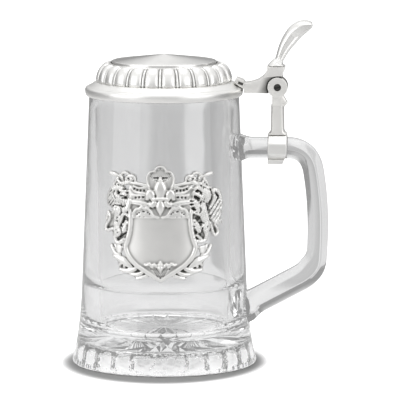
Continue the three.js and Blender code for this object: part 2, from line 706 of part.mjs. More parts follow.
// Lion rampant on the left of the shield
function lion() {
  return [
    rib([
      [-24, 10, 2.4, 2.6],
      [-25.4, 7, 3.2, 3.4],
      [-26, 0, 2.1, 2.8],
      [-26, -6, 2.9, 3.2],
      [-26.6, -9, 1.6, 2.2],
    ]),
    rib([
      [-31.6, 8, 0.8, 1.6],
      [-30, 13, 2.9, 2.8],
      [-26.4, 16.6, 4.3, 3.6],
      [-22, 15.6, 1.8, 3],
      [-20.4, 15, 1, 2.2],
    ]),
    rib([[-24.4, 8, 1.6, 2.8], [-21, 8.4, 1.5, 2.8], [-19, 11, 1.2, 2.6], [-16.8, 13, 1.2, 2.2]]),
    rib([
      [-26.2, -7, 1.8, 2.6],
      [-27, -10.4, 1.4, 2.4],
      [-24.4, -12.6, 1.2, 2.2],
      [-19.6, -10, 1.2, 2.2],
    ]),
    rib([[-25, -4.6, 1.6, 2.6], [-21.8, -3.4, 1.4, 2.4], [-20.4, 0.6, 1, 2.2], [-17, 1.6, 0.9, 2]]),
    rib([
      [-27.6, -5, 1, 2],
      [-32.4, -5.4, 0.9, 2],
      [-31.2, 0.8, 1, 2],
      [-32.6, 5.6, 1.4, 2],
      [-31.6, 9, 0.6, 1.6],
    ]),
  ];
}

// Griffin rampant on the right of the shield
function griffin() {
  const feathers = [0, 1].map((n) =>
    rib([
      [28.6 - n, 12 - 3 * n, 1.6, 2.4],
      [33.4 - n, 16 - 4.6 * n, 1.9, 2.6],
      [36.6 - 2.4 * n, 9.6 - 3.2 * n, 1.7, 2.2],
      [33.4 - 2.2 * n, 1.6 - 0.6 * n, 0.8, 1.6],
    ]),
  );
  return [
    ...feathers,
    rib([
      [25, 11, 2.4, 2.8],
      [25.4, 7, 3.1, 3.4],
      [26, 0, 2.2, 2.8],
      [26.6, -5.6, 2.7, 3],
      [27.4, -9, 1.5, 2.2],
    ]),
    rib([
      [28.6, 11.6, 1.8, 2.2],
      [27, 15.4, 3.2, 3.2],
      [23.4, 17.4, 3.1, 3.6],
      [20, 16.4, 1.5, 2.8],
      [18.6, 14, 0.6, 2],
    ]),
    rib([[24.4, 8, 1.7, 2.8], [21.4, 7.4, 1.5, 2.8], [19.6, 10.6, 1.2, 2.6], [16.8, 12.6, 1.2, 2.2]]),
    rib([[26.8, -5.6, 1.7, 2.6], [28, -8.6, 1.3, 2.2], [25.6, -10.8, 1.3, 2.2], [19.6, -10, 1.2, 2.2]]),
    rib([
      [28, -3, 1, 2],
      [32, -4.4, 0.9, 2],
      [34.2, -6.6, 0.9, 2],
      [35, -1.6, 1, 2],
      [36.8, 1.6, 0.6, 1.6],
    ]),
  ];
}

// Crown, plume, drapery, shells, leaves and scrolls, the same on both sides
function mantling() {
  const ribs = [
    [[19.4, 24, 1.5, 2.4], [22, 26.8, 1.9, 2.8], [24.6, 26, 1.2, 2.4]],
    [[23.4, 26, 1, 2.2], [27, 27, 1.2, 2.2], [32.4, 27, 0.8, 1.8]],
    [[21, 24.6, 1.2, 2.2], [14, 21.4, 1, 2], [6, 20.4, 1, 2]],
    [[18, 13, 1.3, 2.2], [4, 9.4, 1.3, 2.2]],
    [[16, 4.4, 1.4, 2], [13.6, 7.4, 1.7, 2.2], [9.4, 7.8, 1.7, 2.2], [5.4, 4.4, 1.2, 1.8]],
    [[8.8, -23, 0.9, 1.9], [5.4, -23.6, 1.2, 2.1], [2, -27, 1, 1.9]],
    [[29.6, -14, 1, 1.9], [26.4, -17.4, 1.7, 2.3], [19.4, -18.4, 1.4, 2]],
    [[28.8, -19.2, 0.7, 1.6], [22.4, -20.4, 1.5, 2.3], [15, -23.6, 1.2, 1.9]],
    [[25, -25.2, 0.8, 1.6], [18.6, -26.6, 1.5, 2.2], [11.4, -25.4, 1.2, 1.9]],
    [[15.2, -30.4, 0.7, 1.5], [10.6, -30, 1.1, 1.9], [6.4, -28, 0.9, 1.7]],
  ];
  return ribs.flatMap((points) => [rib(points), rib(mirrored(points))]);
}

// Pierced drapery plates between the supporters and the trefoil behind the lily
function backing() {
  const drape = [[22, 5, 17], [18, 5, 18.4], [14, 5, 18.4], [11.4, 3, 17.6]];
  const trefoil = [
    [32, -1.6, 1.6],
    [30.4, -4.2, 4.2],
    [28.2, -6.6, 6.6],
    [25.4, -7.4, 7.4],
    [22.8, -6.2, 6.2],
    [18, -6.6, 6.6],
    [12, -7.4, 7.4],
  ];
  const otherSide = drape.map(([up, left, right]) => [up, -right, -left]);
  return [
    curvedPlate(drape, 0, crestFoot + CREST_PLATE),
    curvedPlate(otherSide, 0, crestFoot + CREST_PLATE),
    curvedPlate(trefoil, 0, crestFoot + CREST_PLATE),
  ];
}

function lily() {
  const sidePetal = [
    [2.6, 13.6, 1.1, 2.6],
    [4.8, 17, 1.4, 3],
    [6.8, 18, 1.5, 3],
    [7.4, 14.6, 1.1, 2.6],
    [5.4, 11, 1, 2.4],
  ];
  return [
    rib([
      [0, 27.4, 0.3, 2],
      [0, 23.4, 2.4, 3.2],
      [0, 20, 3.5, 3.8],
      [0, 16, 2.4, 3.4],
      [0, 13.6, 1.6, 2.8],
    ]),
    rib([[-3.8, 13.8, 1.2, 3.2], [0, 13.8, 1.2, 3.6], [3.8, 13.8, 1.2, 3.2]]),
    rib([[0, 13, 1.4, 2.8], [0, 9, 2.4, 3], [0, 4.6, 0.3, 1.8]]),
    rib(sidePetal),
    rib(mirrored(sidePetal)),
    rib([[0, -21, 0.6, 1.8], [0, -24, 1.6, 2.4], [0, -28, 0.7, 1.9]]),
  ];
}

// The crest's back is cut to the taper of the glass
function crestSeat() {
  const path = new THREE.Path();
  const [foot, top] = [WAIST_HEIGHT, RIM_HEIGHT];
  path.moveTo(0, foot);
  path.lineTo(wallRadius(foot) + crestFoot, foot);
  path.lineTo(wallRadius(top) + crestFoot, top);
  path.lineTo(0, top);
  return revolve(path);
}

function crestBadge() {
  const relief = [...shield(), ...backing(), ...mantling(), ...lion(), ...griffin(), ...lily()];
  return union(relief).subtract(crestSeat());
}

// Film of clear adhesive behind the shield
function crestBond() {
  const edge = shieldEdge();
  const [top, tip] = [edge[0].y, edge[edge.length - 1].y];
  const rows = edge.map((p) => {
    const up = THREE.MathUtils.mapLinear(p.y, tip, top, tip + 2 * BEAD_WIDTH, top - BEAD_WIDTH);
    const half = Math.max(p.x - BEAD_WIDTH, SHIELD_TIP);
    return [up, -half, half];
  });
  return curvedPlate(rows, bondFoot, BOND_THICKNESS);
}

// Finishes

function pewter(color, roughness) {
  return new THREE.MeshStandardMaterial({ color, roughness, metalness: 1 });
}

function glass() {
  const look = { color: 0xeef1f0, roughness: 0.03, metalness: 0, transparent: true, opacity: 0.35 };
  return new THREE.MeshStandardMaterial(look);
}

function bond() {
  const look = { color: 0xd9dad6, roughness: 0.5, metalness: 0, transparent: true, opacity: 0.6 };
  return new THREE.MeshStandardMaterial(look);
}

function piece(name, body, material) {
  const { numProp, vertProperties, triVerts } = body.getMesh();
  const geometry = new THREE.BufferGeometry();
  const positions = new Float32Array((vertProperties.length / numProp) * 3);
  for (let i = 0; i < positions.length / 3; i += 1) {
    positions.set(vertProperties.subarray(i * numProp, i * numProp + 3), i * 3);
  }
  geometry.setAttribute("position", new THREE.BufferAttribute(positions, 3));
  geometry.setIndex(new THREE.BufferAttribute(new Uint32Array(triVerts), 1));
  geometry.computeVertexNormals();
  const mesh = new THREE.Mesh(geometry, material);
  mesh.name = name;
  return mesh;
}

// The vessel with what is fixed to it, and the lid with what turns with it

const vessel = new THREE.Group();
vessel.add(
  piece("glass_tankard", glassTankard(), glass()),
  piece("crest_bond", crestBond(), bond()),
  piece("crest_badge", crestBadge(), pewter(0xbdbbb6, 0.34)),
  piece("handle_strap", handleStrap(), pewter(0xd6d4cf, 0.26)),
  piece("hinge_shank", hingeShank(), pewter(0xcfcdc8, 0.3)),
  piece("hinge_pin", hingePin(), pewter(0x9c9a96, 0.34)),
);

const lid = new THREE.Group();
lid.add(
  piece("lid_casting", lidCasting(), pewter(0xd4d2cd, 0.24)),
  piece("lid_disc", lidDisc(), pewter(0xc9c7c2, 0.3)),
  piece("lid_tang", lidTang(), pewter(0xd2d0cb, 0.3)),
  piece("thumblift", thumblift(), pewter(0xdad8d3, 0.24)),
);

const stein = new THREE.Group();
stein.add(vessel, lid);

export default stein;
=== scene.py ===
"""Lidded glass stein: clear pressed glass with a pewter lid, hinge, strap and crest.

The pieces are drawn in millimetres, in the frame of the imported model, and become metres in piece().
"""

from math import asin, atan2, cos, hypot, pi, radians, sin, sqrt

import bmesh
import bpy
import numpy as np
from mathutils import Matrix, Vector


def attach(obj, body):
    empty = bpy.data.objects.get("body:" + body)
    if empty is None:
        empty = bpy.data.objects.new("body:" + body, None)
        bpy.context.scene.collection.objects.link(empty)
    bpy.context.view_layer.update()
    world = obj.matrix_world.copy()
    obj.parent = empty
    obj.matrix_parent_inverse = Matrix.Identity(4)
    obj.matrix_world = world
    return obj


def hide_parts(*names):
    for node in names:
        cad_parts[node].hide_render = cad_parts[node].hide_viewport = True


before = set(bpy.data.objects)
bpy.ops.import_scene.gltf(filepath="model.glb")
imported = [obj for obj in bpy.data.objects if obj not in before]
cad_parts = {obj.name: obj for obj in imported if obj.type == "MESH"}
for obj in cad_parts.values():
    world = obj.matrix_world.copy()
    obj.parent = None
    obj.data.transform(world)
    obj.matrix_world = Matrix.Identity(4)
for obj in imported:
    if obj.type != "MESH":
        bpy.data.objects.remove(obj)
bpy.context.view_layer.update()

MM = 0.001

# Glass
RIM_Z, RIM_R, LIP = 151.5, 42.0, 1.6
WAIST_Z, WAIST_R = 38.0, 46.6
FOOT_R, FOOT_ROUND = 51.7, 1.5
FLARE = (48.3, 14.0)
BORE_R, BORE_FOOT_R = 38.0, 36.8
FLOOR_Z, FLOOR_ROUND = 18.0, 9.0
MOULD_RING_Z, RING_HALF, RING_RISE = 44.2, 0.4, 0.25
HOLLOW_R, HOLLOW_Z, HOLLOW_ROUND, HOLLOW_DRAFT = 44.6, 11.5, 4.0, 1.0
FLUTES, FLUTE_DEPTH = 24, 2.4
# Up the hollow's wall, before it rounds over: height, inset and share of the flutes' depth
FLUTE_FEET = (
    (-3.0, 0.0, 0.0), (0.8, 0.0, 0.0), (1.2, 0.0, 0.3), (1.8, 0.1, 0.65), (2.8, 0.3, 0.92),
    (3.8, 0.5, 1.0), (5.2, 0.7, 1.0),
)
STAR_RAYS, STAR_HUB, STAR_R, STAR_WIDTH, STAR_DEPTH = 24, 3.0, 39.0, 5.0, 2.6
WALL_SLOPE = (WAIST_R - RIM_R) / (RIM_Z - WAIST_Z)

# Glass finish: where its mould marks lie, their strength, and the painted glow of rays trapped in it
HOLLOW_REACH, HOLLOW_TOP, FLUTE_REACH = 48, 14.5, 40
HOLLOW_ROUGHNESS, WAVE_STRENGTH, RIPPLE_STRENGTH = 0.03, 0.06, 0.5
GLASS_TINT = (0.95, 0.951, 0.953, 1)
TRAPPED_BOUNCES, TRAPPED_PAINTED_GLOW = 5.5, 0.28

# Handle
HANDLE_WIDTH, HANDLE_BEVEL = 15.0, 3.4
ARM_Z, ARM_THICK = 121.4, 11.5
GRIP_BELLY = 91.7 - ARM_THICK / 2
UPPER_BEND_INSET, UPPER_BEND_REACH = 4.5, 13
LOWER_BEND_Z, LOWER_BEND_INSET, LOWER_BEND_REACH = 52.7, 0.8, 11
GRIP_BOW = 1.3
SWELL_Z, LOWER_THICK = 64, 14.3
ROOT_Z, ROOT_DEPTH, ROOT_FLARE, ROOT_FLARE_REACH = 32.2, 5, 1.5, 6

# Hinge
HINGE_X, HINGE_Z = 63.5, 155.8
HINGE_WIDTH, KNUCKLE_WIDTH = 13.0, 6.0
EAR_R, PIN_R = 5.6, 1.95
GAP = 0.3
COLUMN_RISE = 11.4
POST_FOOT, POST_DROP = 129.05, 10.2
STRAP_WIDTH, STRAP_LAP_WIDTH, STRAP_THICK = 10.8, 8.2, 1.6

# Lid
LID_FOOT, LID_R, LID_WALL = 151.8, 44.2, 2.4
EDGE_R = 2.05
SKIRT_R, SKIRT_Z = 42.6, 150.5
LOBE_FOOT_Z, LOBE_TOP_Z = 158.6, 169.0
LOBE_FOOT_R, LOBE_TOP_R = 38.2, 31.0
LOBE_RISE, LOBE_REACH = LOBE_TOP_Z - LOBE_FOOT_Z, LOBE_FOOT_R - LOBE_TOP_R
LOBES, LOBE_DEPTH = 24, 1.7
GROOVE_SIDE, BEAD_LIFT = 0.82, 0.5
DISC_R, DISC_FOOT, DISC_SEAT = 29.2, 167.8, 1.5
DISC_EDGE, DISC_RISE = 2.4, 3.5

# Crest
CREST_Z, CREST_ASIDE, CREST_BACK = 84.5, 0.7, 1.1
CREST_GRAIN = 0.32
RIB_STEP, RIB_FULLNESS = 0.8, 0.42
BLUNT_STEPS = (0.5, 0.85, 0.99)
GROUND_LIFT, SHIELD_LIFT, ARCH_LIFT = 0.7, 1.35, 1.5
DRAPERY_LIFT, PEDESTAL_LIFT, FRILL_LIFT = 1.3, 2.1, 1.6
SHIELD_CORNER, ARCH_FOOT = (15.8, 97), (6, 96)
ARCH_RIM = (0.65, 2.5)
MANE_RIB, FEATHER_RIB, STRAND_FADE = (0.8, 3), (0.7, 3.1), 0.55
FUR_SIDE, FUR_FOOT, FUR_LIFT, FUR_DEPTH = 16.5, 73, 1.4, 0.3
CUT_WIDTH, CUT_DEPTH, LEAST_LIFT = 0.55, 0.95, 0.3
# Stipple: each dot's radius and depth, its rows in the shield's foot, and the field over the lily
STIPPLE, STIPPLE_PITCH, STIPPLE_STEP = (0.28, 0.55), 0.95, 0.8
STIPPLE_FOOT, STIPPLE_TOP, STIPPLE_HALF = 54.8, 60.4, 5.4
SHIELD_TIP, TIP_SLOPE = 53.8, 0.85
FIELD_RISE, FIELD_Z, FIELD_HALVES = 52, 111.2, (5.6, 3.6)

# Patina, the dark that stays in the crest's recesses; its tone and dulling also serve as painted shade on the
# lid, tang and pin
PATINA_REACH, PATINA_GAIN = 22, 2.3
PATINA_AND_SHADE_TONE, PATINA_AND_SHADE_DULLING = (0.09, 0.09, 0.085, 1), 0.3


# Shaping


def placed(name, data):
    """An object, put in the scene."""
    obj = bpy.data.objects.new(name, data)
    bpy.context.scene.collection.objects.link(obj)
    return obj


def meshed(name, bm):
    """The mesh of bm, which is freed."""
    mesh = bpy.data.meshes.new(name)
    bm.to_mesh(mesh)
    bm.free()
    return mesh


def bend(start, pull, end, steps):
    """Points along a smooth bend from start to end, drawn towards pull, without the first."""
    a, b, c = (Vector(p) for p in (start, pull, end))
    shares = [k / steps for k in range(1, steps + 1)]
    return [tuple(a * (1 - t) ** 2 + b * 2 * t * (1 - t) + c * t * t) for t in shares]


def straight(start, end, steps):
    """Points along a line, without the first."""
    a, b = Vector(start), Vector(end)
    return [tuple(a.lerp(b, k / steps)) for k in range(1, steps + 1)]


def arc(centre, radius, start, end, steps):
    """Points along an arc in degrees."""
    turns = [radians(start + (end - start) * k / steps) for k in range(steps + 1)]
    return [(centre[0] + radius * cos(t), centre[1] + radius * sin(t)) for t in turns]


def spun(profile, steps, sectors=12):
    """A closed shell turned about Z from (radius, height) points that start and end on the axis."""
    bm = bmesh.new()
    verts = [bm.verts.new((r, 0, z)) for r, z in profile]
    edges = [bm.edges.new(pair) for pair in zip(verts, verts[1:])]
    about = {"cent": (0, 0, 0), "axis": (0, 0, 1)}
    bmesh.ops.spin(bm, geom=verts + edges, angle=2 * pi / sectors, steps=steps // sectors, **about)
    rest = {"angle": 2 * pi * (1 - 1 / sectors), "steps": sectors - 1, "use_duplicate": True}
    bmesh.ops.spin(bm, geom=bm.verts[:] + bm.edges[:] + bm.faces[:], **rest, **about)
    bmesh.ops.remove_doubles(bm, verts=bm.verts, dist=1e-4)
    bmesh.ops.recalc_face_normals(bm, faces=bm.faces)
    return bm


def add(bm, part):
    """Puts a part into bm as a body of its own."""
    mesh = meshed("part", part)
    bm.from_mesh(mesh)
    bpy.data.meshes.remove(mesh)


def skinned(rings):
    """A closed shell over rings of points."""
    bm = bmesh.new()
    loops = []
    for ring in rings:
        verts = [bm.verts.new(p) for p in ring]
        loops.append([bm.edges.new(pair) for pair in zip(verts, verts[1:] + verts[:1])])
    for near, far in zip(loops, loops[1:]):
        bmesh.ops.bridge_loops(bm, edges=near + far)
    for end in (loops[0], loops[-1]):
        bmesh.ops.edgeloop_fill(bm, edges=end)
    bmesh.ops.recalc_face_normals(bm, faces=bm.faces)
    return bm


def extruded(bm, outline, along):
    """A prism, added to bm: an outline of points drawn out along a vector."""
    face = bm.faces.new([bm.verts.new(p) for p in outline])
    grown = bmesh.ops.extrude_face_region(bm, geom=[face])["geom"]
    bmesh.ops.translate(bm, verts=[g for g in grown if isinstance(g, bmesh.types.BMVert)], vec=along)


def plank(outline, width):
    """An XZ outline given its width along Y."""
    bm = bmesh.new()
    extruded(bm, [(x, -width / 2, z) for x, z in outline], (0, width, 0))
    bmesh.ops.recalc_face_normals(bm, faces=bm.faces)
    return bm


def bar(radius, width, centre=0.0, segments=64):
    """A round bar along Y on the hinge's axis."""
    bm = bmesh.new()
    place = Matrix.Translation((HINGE_X, centre, HINGE_Z)) @ Matrix.Rotation(pi / 2, 4, "X")
    size = {"radius1": radius, "radius2": radius, "depth": width, "segments": segments}
    bmesh.ops.create_cone(bm, cap_ends=True, matrix=place, **size)
    return bm


def block(size, place):
    """A box of a given size, put in its place."""
    bm = bmesh.new()
    bmesh.ops.create_cube(bm, size=1, matrix=place @ Matrix.Diagonal((*size, 1)))
    return bm


def soften(bm, offset, segments=2, angle=30, limit=181):
    """Rounds every edge that turns more than an angle and less than a limit, in degrees."""
    low, high = radians(angle), radians(limit)
    edges = [e for e in bm.edges if len(e.link_faces) == 2 and low < e.calc_face_angle() < high]
    how = {"profile": 0.5, "affect": "EDGES", "material": -1, "clamp_overlap": True}
    bmesh.ops.bevel(bm, geom=edges, offset=offset, segments=segments, **how)
    return bm


def shaped(base, kind, **settings):
    """The shape of base after one modifier."""
    mesh = meshed("blank", base)
    blank = placed("blank", mesh)
    step = blank.modifiers.new("step", kind)
    for name, value in settings.items():
        setattr(step, name, value)
    result = bpy.data.meshes.new_from_object(blank.evaluated_get(bpy.context.evaluated_depsgraph_get()))
    bm = bmesh.new()
    bm.from_mesh(result)
    bpy.data.objects.remove(blank)
    bpy.data.meshes.remove(mesh)
    bpy.data.meshes.remove(result)
    return bm


def combined(base, tool, operation):
    """base united with tool, or cut by it."""
    mesh = meshed("tool", tool)
    cutter = placed("tool", mesh)
    bm = shaped(base, "BOOLEAN", object=cutter, operation=operation, solver="EXACT")
    bpy.data.objects.remove(cutter)
    bpy.data.meshes.remove(mesh)
    return bm


def piece(name, bm, body, slot, material, *nodes, sharp=35):
    """A finished piece in metres that rides on a body and stands for CAD nodes."""
    bmesh.ops.scale(bm, verts=bm.verts, vec=(MM, MM, MM))
    mesh = meshed(name, bm)
    mesh.shade_smooth()
    mesh.set_sharp_from_angle(angle=radians(sharp))
    mesh.materials.append(material)
    obj = placed(name, mesh)
    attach(obj, body)
    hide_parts(*nodes)
    return obj


def paint_shade(obj, rule):
    """Paints shade on a piece, 0 to 1, from a rule on each point's place in millimetres."""
    values = [rule(*(v.co / MM)) for v in obj.data.vertices]
    obj.data.attributes.new("patina_and_painted_shade", "FLOAT", "POINT").data.foreach_set("value", values)


# Materials


def group(name, inputs, outputs):
    """An empty node group with named sockets."""
    tree = bpy.data.node_groups.new(name, "ShaderNodeTree")
    for label, kind, value in inputs:
        socket = tree.interface.new_socket(label, in_out="INPUT", socket_type=kind)
        socket.default_value = value
    for label, kind in outputs:
        tree.interface.new_socket(label, in_out="OUTPUT", socket_type=kind)
    return tree, tree.nodes.new("NodeGroupInput"), tree.nodes.new("NodeGroupOutput")


def node(tree, kind, settings=(), **inputs):
    """A shader node with its settings, and inputs given as values or as sockets to link."""
    made = tree.nodes.new(f"ShaderNode{kind}")
    for name, value in dict(settings).items():
        setattr(made, name, value)
    for name, value in inputs.items():
        key = int(name[1:]) if name[0] == "_" and name[1:].isdigit() else name.replace("_", " ")
        if isinstance(value, bpy.types.NodeSocket):
            tree.links.new(value, made.inputs[key])
        else:
            made.inputs[key].default_value = value
    return made


def blend(tree, share, first, second):
    """A value between two others."""
    return node(tree, "Mix", {"data_type": "FLOAT"}, _0=share, _2=first, _3=second).outputs[0]


def tinted(tree, share, first, second):
    """A colour between two others."""
    return node(tree, "Mix", {"data_type": "RGBA"}, _0=share, _6=first, _7=second).outputs[2]


def maths(tree, operation, *terms):
    """The outcome of one operation on values or sockets."""
    given = {f"_{k}": term for k, term in enumerate(terms)}
    return node(tree, "Math", {"operation": operation}, **given).outputs[0]


def length(tree, vector):
    return node(tree, "VectorMath", {"operation": "LENGTH"}, _0=vector).outputs["Value"]


def object_space(tree):
    return node(tree, "TexCoord").outputs["Object"]


def noise(tree, spot, scale, detail, roughness=0.5):
    kind = {"Scale": scale, "Detail": detail, "Roughness": roughness}
    return node(tree, "TexNoise", Vector=spot, **kind).outputs["Fac"]


def cast_finish():
    """Fine casting grain and handling marks on pewter."""
    tree, given, out = group(
        "cast finish",
        [
            ("Colour", "NodeSocketColor", (0.8, 0.8, 0.8, 1)),
            ("Roughness", "NodeSocketFloat", 0.3),
            ("Mottle", "NodeSocketFloat", 0.1),
            ("Grain", "NodeSocketFloat", 0.1),
        ],
        [("Colour", "NodeSocketColor"), ("Roughness", "NodeSocketFloat"), ("Height", "NodeSocketFloat")],
    )
    given = given.outputs
    spot = object_space(tree)
    clouds = maths(tree, "SUBTRACT", noise(tree, spot, 90.0, 4.0, 0.6), 0.5)
    level = maths(tree, "MULTIPLY_ADD", clouds, given["Mottle"], 1.0)
    tone = node(tree, "VectorMath", {"operation": "SCALE"}, _0=given["Colour"], Scale=level)
    rough = maths(tree, "MULTIPLY_ADD", clouds, given["Mottle"], given["Roughness"])
    height = maths(tree, "MULTIPLY", noise(tree, spot, 1900.0, 3.0, 0.6), given["Grain"])
    tree.links.new(tone.outputs[0], out.inputs["Colour"])
    tree.links.new(rough, out.inputs["Roughness"])
    tree.links.new(height, out.inputs["Height"])
    return tree


def new_material(name):
    """A material with its tree and its shader."""
    material = bpy.data.materials.new(name)
    material.use_nodes = True
    tree = material.node_tree
    return material, tree, tree.nodes["Principled BSDF"]


def pewter(name, colour, roughness, mottle=0.1, grain=0.12, bump=0.05):
    """Pewter with the cast finish, darkened and dulled where the piece's own attribute of patina and painted
    shade says so.
    """
    material, tree, shader = new_material(name)
    given = {"Colour": (*colour, 1), "Roughness": roughness, "Mottle": mottle, "Grain": grain}
    finish = node(tree, "Group", {"node_tree": CAST_FINISH}, **given).outputs
    lift = node(tree, "Bump", Strength=bump, Distance=0.0003, Height=finish["Height"])
    # Patina on the crest, painted shade on the lid, tang and pin
    held = node(tree, "Attribute", {"attribute_name": "patina_and_painted_shade"}).outputs["Fac"]
    tone = tinted(tree, held, finish["Colour"], PATINA_AND_SHADE_TONE)
    dull = maths(tree, "MULTIPLY_ADD", held, PATINA_AND_SHADE_DULLING, finish["Roughness"])
    shader.inputs["Metallic"].default_value = 1.0
    tree.links.new(tone, shader.inputs["Base Color"])
    tree.links.new(dull, shader.inputs["Roughness"])
    tree.links.new(lift.outputs["Normal"], shader.inputs["Normal"])
    return material, tree, shader, finish, lift


def turned_pewter():
    """Pewter with the fine rings of a lathe."""
    material, tree, shader, finish, lift = pewter("turned pewter", (0.86, 0.855, 0.84), 0.3)
    kind = {"wave_type": "RINGS", "rings_direction": "Z"}
    pattern = {"Scale": 420.0, "Distortion": 0.4, "Detail": 2.0}
    rings = node(tree, "TexWave", kind, Vector=object_space(tree), **pattern).outputs["Fac"]
    tree.links.new(maths(tree, "MULTIPLY_ADD", rings, 0.5, finish["Height"]), lift.inputs["Height"])
    around = node(tree, "Tangent", {"direction_type": "RADIAL", "axis": "Z"})
    tree.links.new(around.outputs["Tangent"], shader.inputs["Tangent"])
    shader.inputs["Anisotropic"].default_value = 0.85
    shader.inputs["Anisotropic Rotation"].default_value = 0.25
    return material


def clear_glass():
    """Pressed glass, slightly wavy, rippled on the flutes, with a soft painted glow where rays stay trapped.
    """
    material, tree, shader = new_material("clear glass")
    spot = object_space(tree)
    smears = noise(tree, spot, 30.0, 3.0)
    polished = node(tree, "MapRange", Value=smears, To_Min=0.0, To_Max=0.02).outputs[0]
    height = node(tree, "SeparateXYZ", Vector=spot).outputs["Z"]
    level = node(tree, "VectorMath", {"operation": "MULTIPLY"}, _0=spot, _1=(1, 1, 0))
    reach = length(tree, level.outputs[0])
    inside = maths(tree, "LESS_THAN", reach, HOLLOW_REACH * MM)
    under = maths(tree, "LESS_THAN", height, HOLLOW_TOP * MM)
    pressed = maths(tree, "MULTIPLY", inside, under)
    rippled = maths(tree, "MULTIPLY", pressed, maths(tree, "GREATER_THAN", reach, FLUTE_REACH * MM))
    rough = maths(tree, "MULTIPLY_ADD", pressed, HOLLOW_ROUGHNESS, polished)
    uneven = blend(tree, rippled, noise(tree, spot, 55.0, 1.0, 0.4), noise(tree, spot, 330.0, 1.0, 0.4))
    depth = maths(tree, "MULTIPLY_ADD", rippled, RIPPLE_STRENGTH, WAVE_STRENGTH)
    lift = node(tree, "Bump", Strength=depth, Distance=0.002, Height=uneven)
    # Painted glow: past the trapped bounce count a ray's colour turns black and the glass glows softly
    # instead
    bounces = node(tree, "LightPath").outputs["Ray Depth"]
    trapped = maths(tree, "GREATER_THAN", bounces, TRAPPED_BOUNCES)
    tint = tinted(tree, trapped, GLASS_TINT, (0, 0, 0, 1))
    tree.links.new(lift.outputs["Normal"], shader.inputs["Normal"])
    tree.links.new(rough, shader.inputs["Roughness"])
    tree.links.new(tint, shader.inputs["Base Color"])
    tree.links.new(maths(tree, "MULTIPLY", trapped, TRAPPED_PAINTED_GLOW), shader.inputs["Emission Strength"])
    shader.inputs["Emission Color"].default_value = (1, 1, 1, 1)
    shader.inputs["Transmission Weight"].default_value = 1.0
    shader.inputs["IOR"].default_value = 1.5
    return material


def clear_adhesive():
    """A cloudy film of adhesive."""
    material, tree, shader = new_material("clear adhesive")
    clouds = noise(tree, object_space(tree), 140.0, 3.0)
    tone = tinted(tree, clouds, (0.62, 0.62, 0.6, 1), (0.78, 0.78, 0.76, 1))
    rough = node(tree, "MapRange", Value=clouds, To_Min=0.3, To_Max=0.6)
    tree.links.new(tone, shader.inputs["Base Color"])
    tree.links.new(rough.outputs[0], shader.inputs["Roughness"])
    return material


CAST_FINISH = cast_finish()
GLASS = clear_glass()
BRIGHT = pewter("bright pewter", (0.88, 0.875, 0.86), 0.36, 0.08, 0.1, 0.04)[0]
SATIN = pewter("satin pewter", (0.93, 0.92, 0.895), 0.36, 0.1, 0.2, 0.08)[0]
TURNED = turned_pewter()
ANTIQUED = pewter("antiqued pewter", (0.84, 0.835, 0.82), 0.3, 0.12, 0.2, 0.12)[0]
PIN_STEEL = pewter("pin steel", (0.32, 0.32, 0.31), 0.4, 0.2, 0.2, 0.08)[0]
ADHESIVE = clear_adhesive()


# Glass tankard


def wall_radius(z):
    """The outer radius of the tapered wall."""
    return RIM_R + WALL_SLOPE * (RIM_Z - z)


def glass_profile():
    """The body as (radius, height): up the outside, over the rim and down the bore, past its mould ring."""
    lip_z = RIM_Z - LIP
    bore_foot = FLOOR_Z + FLOOR_ROUND
    ring_share = (MOULD_RING_Z - bore_foot) / (lip_z - bore_foot)
    ring_r = BORE_FOOT_R + (BORE_R - BORE_FOOT_R) * ring_share
    ring_top, ring_foot = (ring_r, MOULD_RING_Z + RING_HALF), (ring_r, MOULD_RING_Z - RING_HALF)
    floor_edge = (BORE_FOOT_R - FLOOR_ROUND, FLOOR_Z)
    points = [(0, 0), (FOOT_R - FOOT_ROUND, 0)]
    points += bend((FOOT_R - FOOT_ROUND, 0), (FOOT_R, 0), (FOOT_R, FOOT_ROUND), 5)
    points += bend((FOOT_R, FOOT_ROUND), FLARE, (WAIST_R, WAIST_Z), 16)
    points += straight((WAIST_R, WAIST_Z), (RIM_R, lip_z), 24)
    points += bend((RIM_R, lip_z), (RIM_R, RIM_Z), (RIM_R - LIP, RIM_Z), 5)
    points += bend((BORE_R + LIP, RIM_Z), (BORE_R, RIM_Z), (BORE_R, lip_z), 5)
    points += straight((BORE_R, lip_z), ring_top, 18)
    points += bend(ring_top, (ring_r - RING_RISE, MOULD_RING_Z), ring_foot, 6)
    points += straight(ring_foot, (BORE_FOOT_R, bore_foot), 4)
    points += bend((BORE_FOOT_R, bore_foot), (BORE_FOOT_R, FLOOR_Z), floor_edge, 12)
    points += straight(floor_edge, (0, FLOOR_Z), 3)
    return points


def bevelled_section(half_x, half_y, bevel):
    """The eight corners of a bevelled rectangle, in order."""
    a, b = half_x - bevel, half_y - bevel
    ahead = [(half_x, -b), (half_x, b), (a, half_y)]
    behind = [(-a, half_y), (-half_x, b), (-half_x, -b)]
    return [*ahead, *behind, (-a, -half_y), (a, -half_y)]


def handle_line():
    """The handle's middle line in XZ, from inside the wall at the top arm to inside it at the root."""
    upper = Vector((GRIP_BELLY - UPPER_BEND_INSET, ARM_Z))
    lower = Vector((GRIP_BELLY - LOWER_BEND_INSET, LOWER_BEND_Z))
    bow = Vector((GRIP_BELLY + GRIP_BOW, (ARM_Z + LOWER_BEND_Z) / 2))
    root = Vector((wall_radius(ROOT_Z), ROOT_Z))
    grip_top = upper + (bow - upper).normalized() * UPPER_BEND_REACH
    grip_foot = lower + (bow - lower).normalized() * LOWER_BEND_REACH
    arm_foot = lower + (root - lower).normalized() * LOWER_BEND_REACH
    inside = root - (lower - root).normalized() * ROOT_DEPTH
    line = [(BORE_R + 1.5, ARM_Z)]
    line += straight(line[-1], (upper.x - UPPER_BEND_REACH, ARM_Z), 22)
    line += bend(line[-1], upper, grip_top, 14)
    line += bend(line[-1], bow, grip_foot, 16)
    line += bend(line[-1], lower, arm_foot, 12)
    line += straight(line[-1], inside, 22)
    return [Vector(p) for p in line]


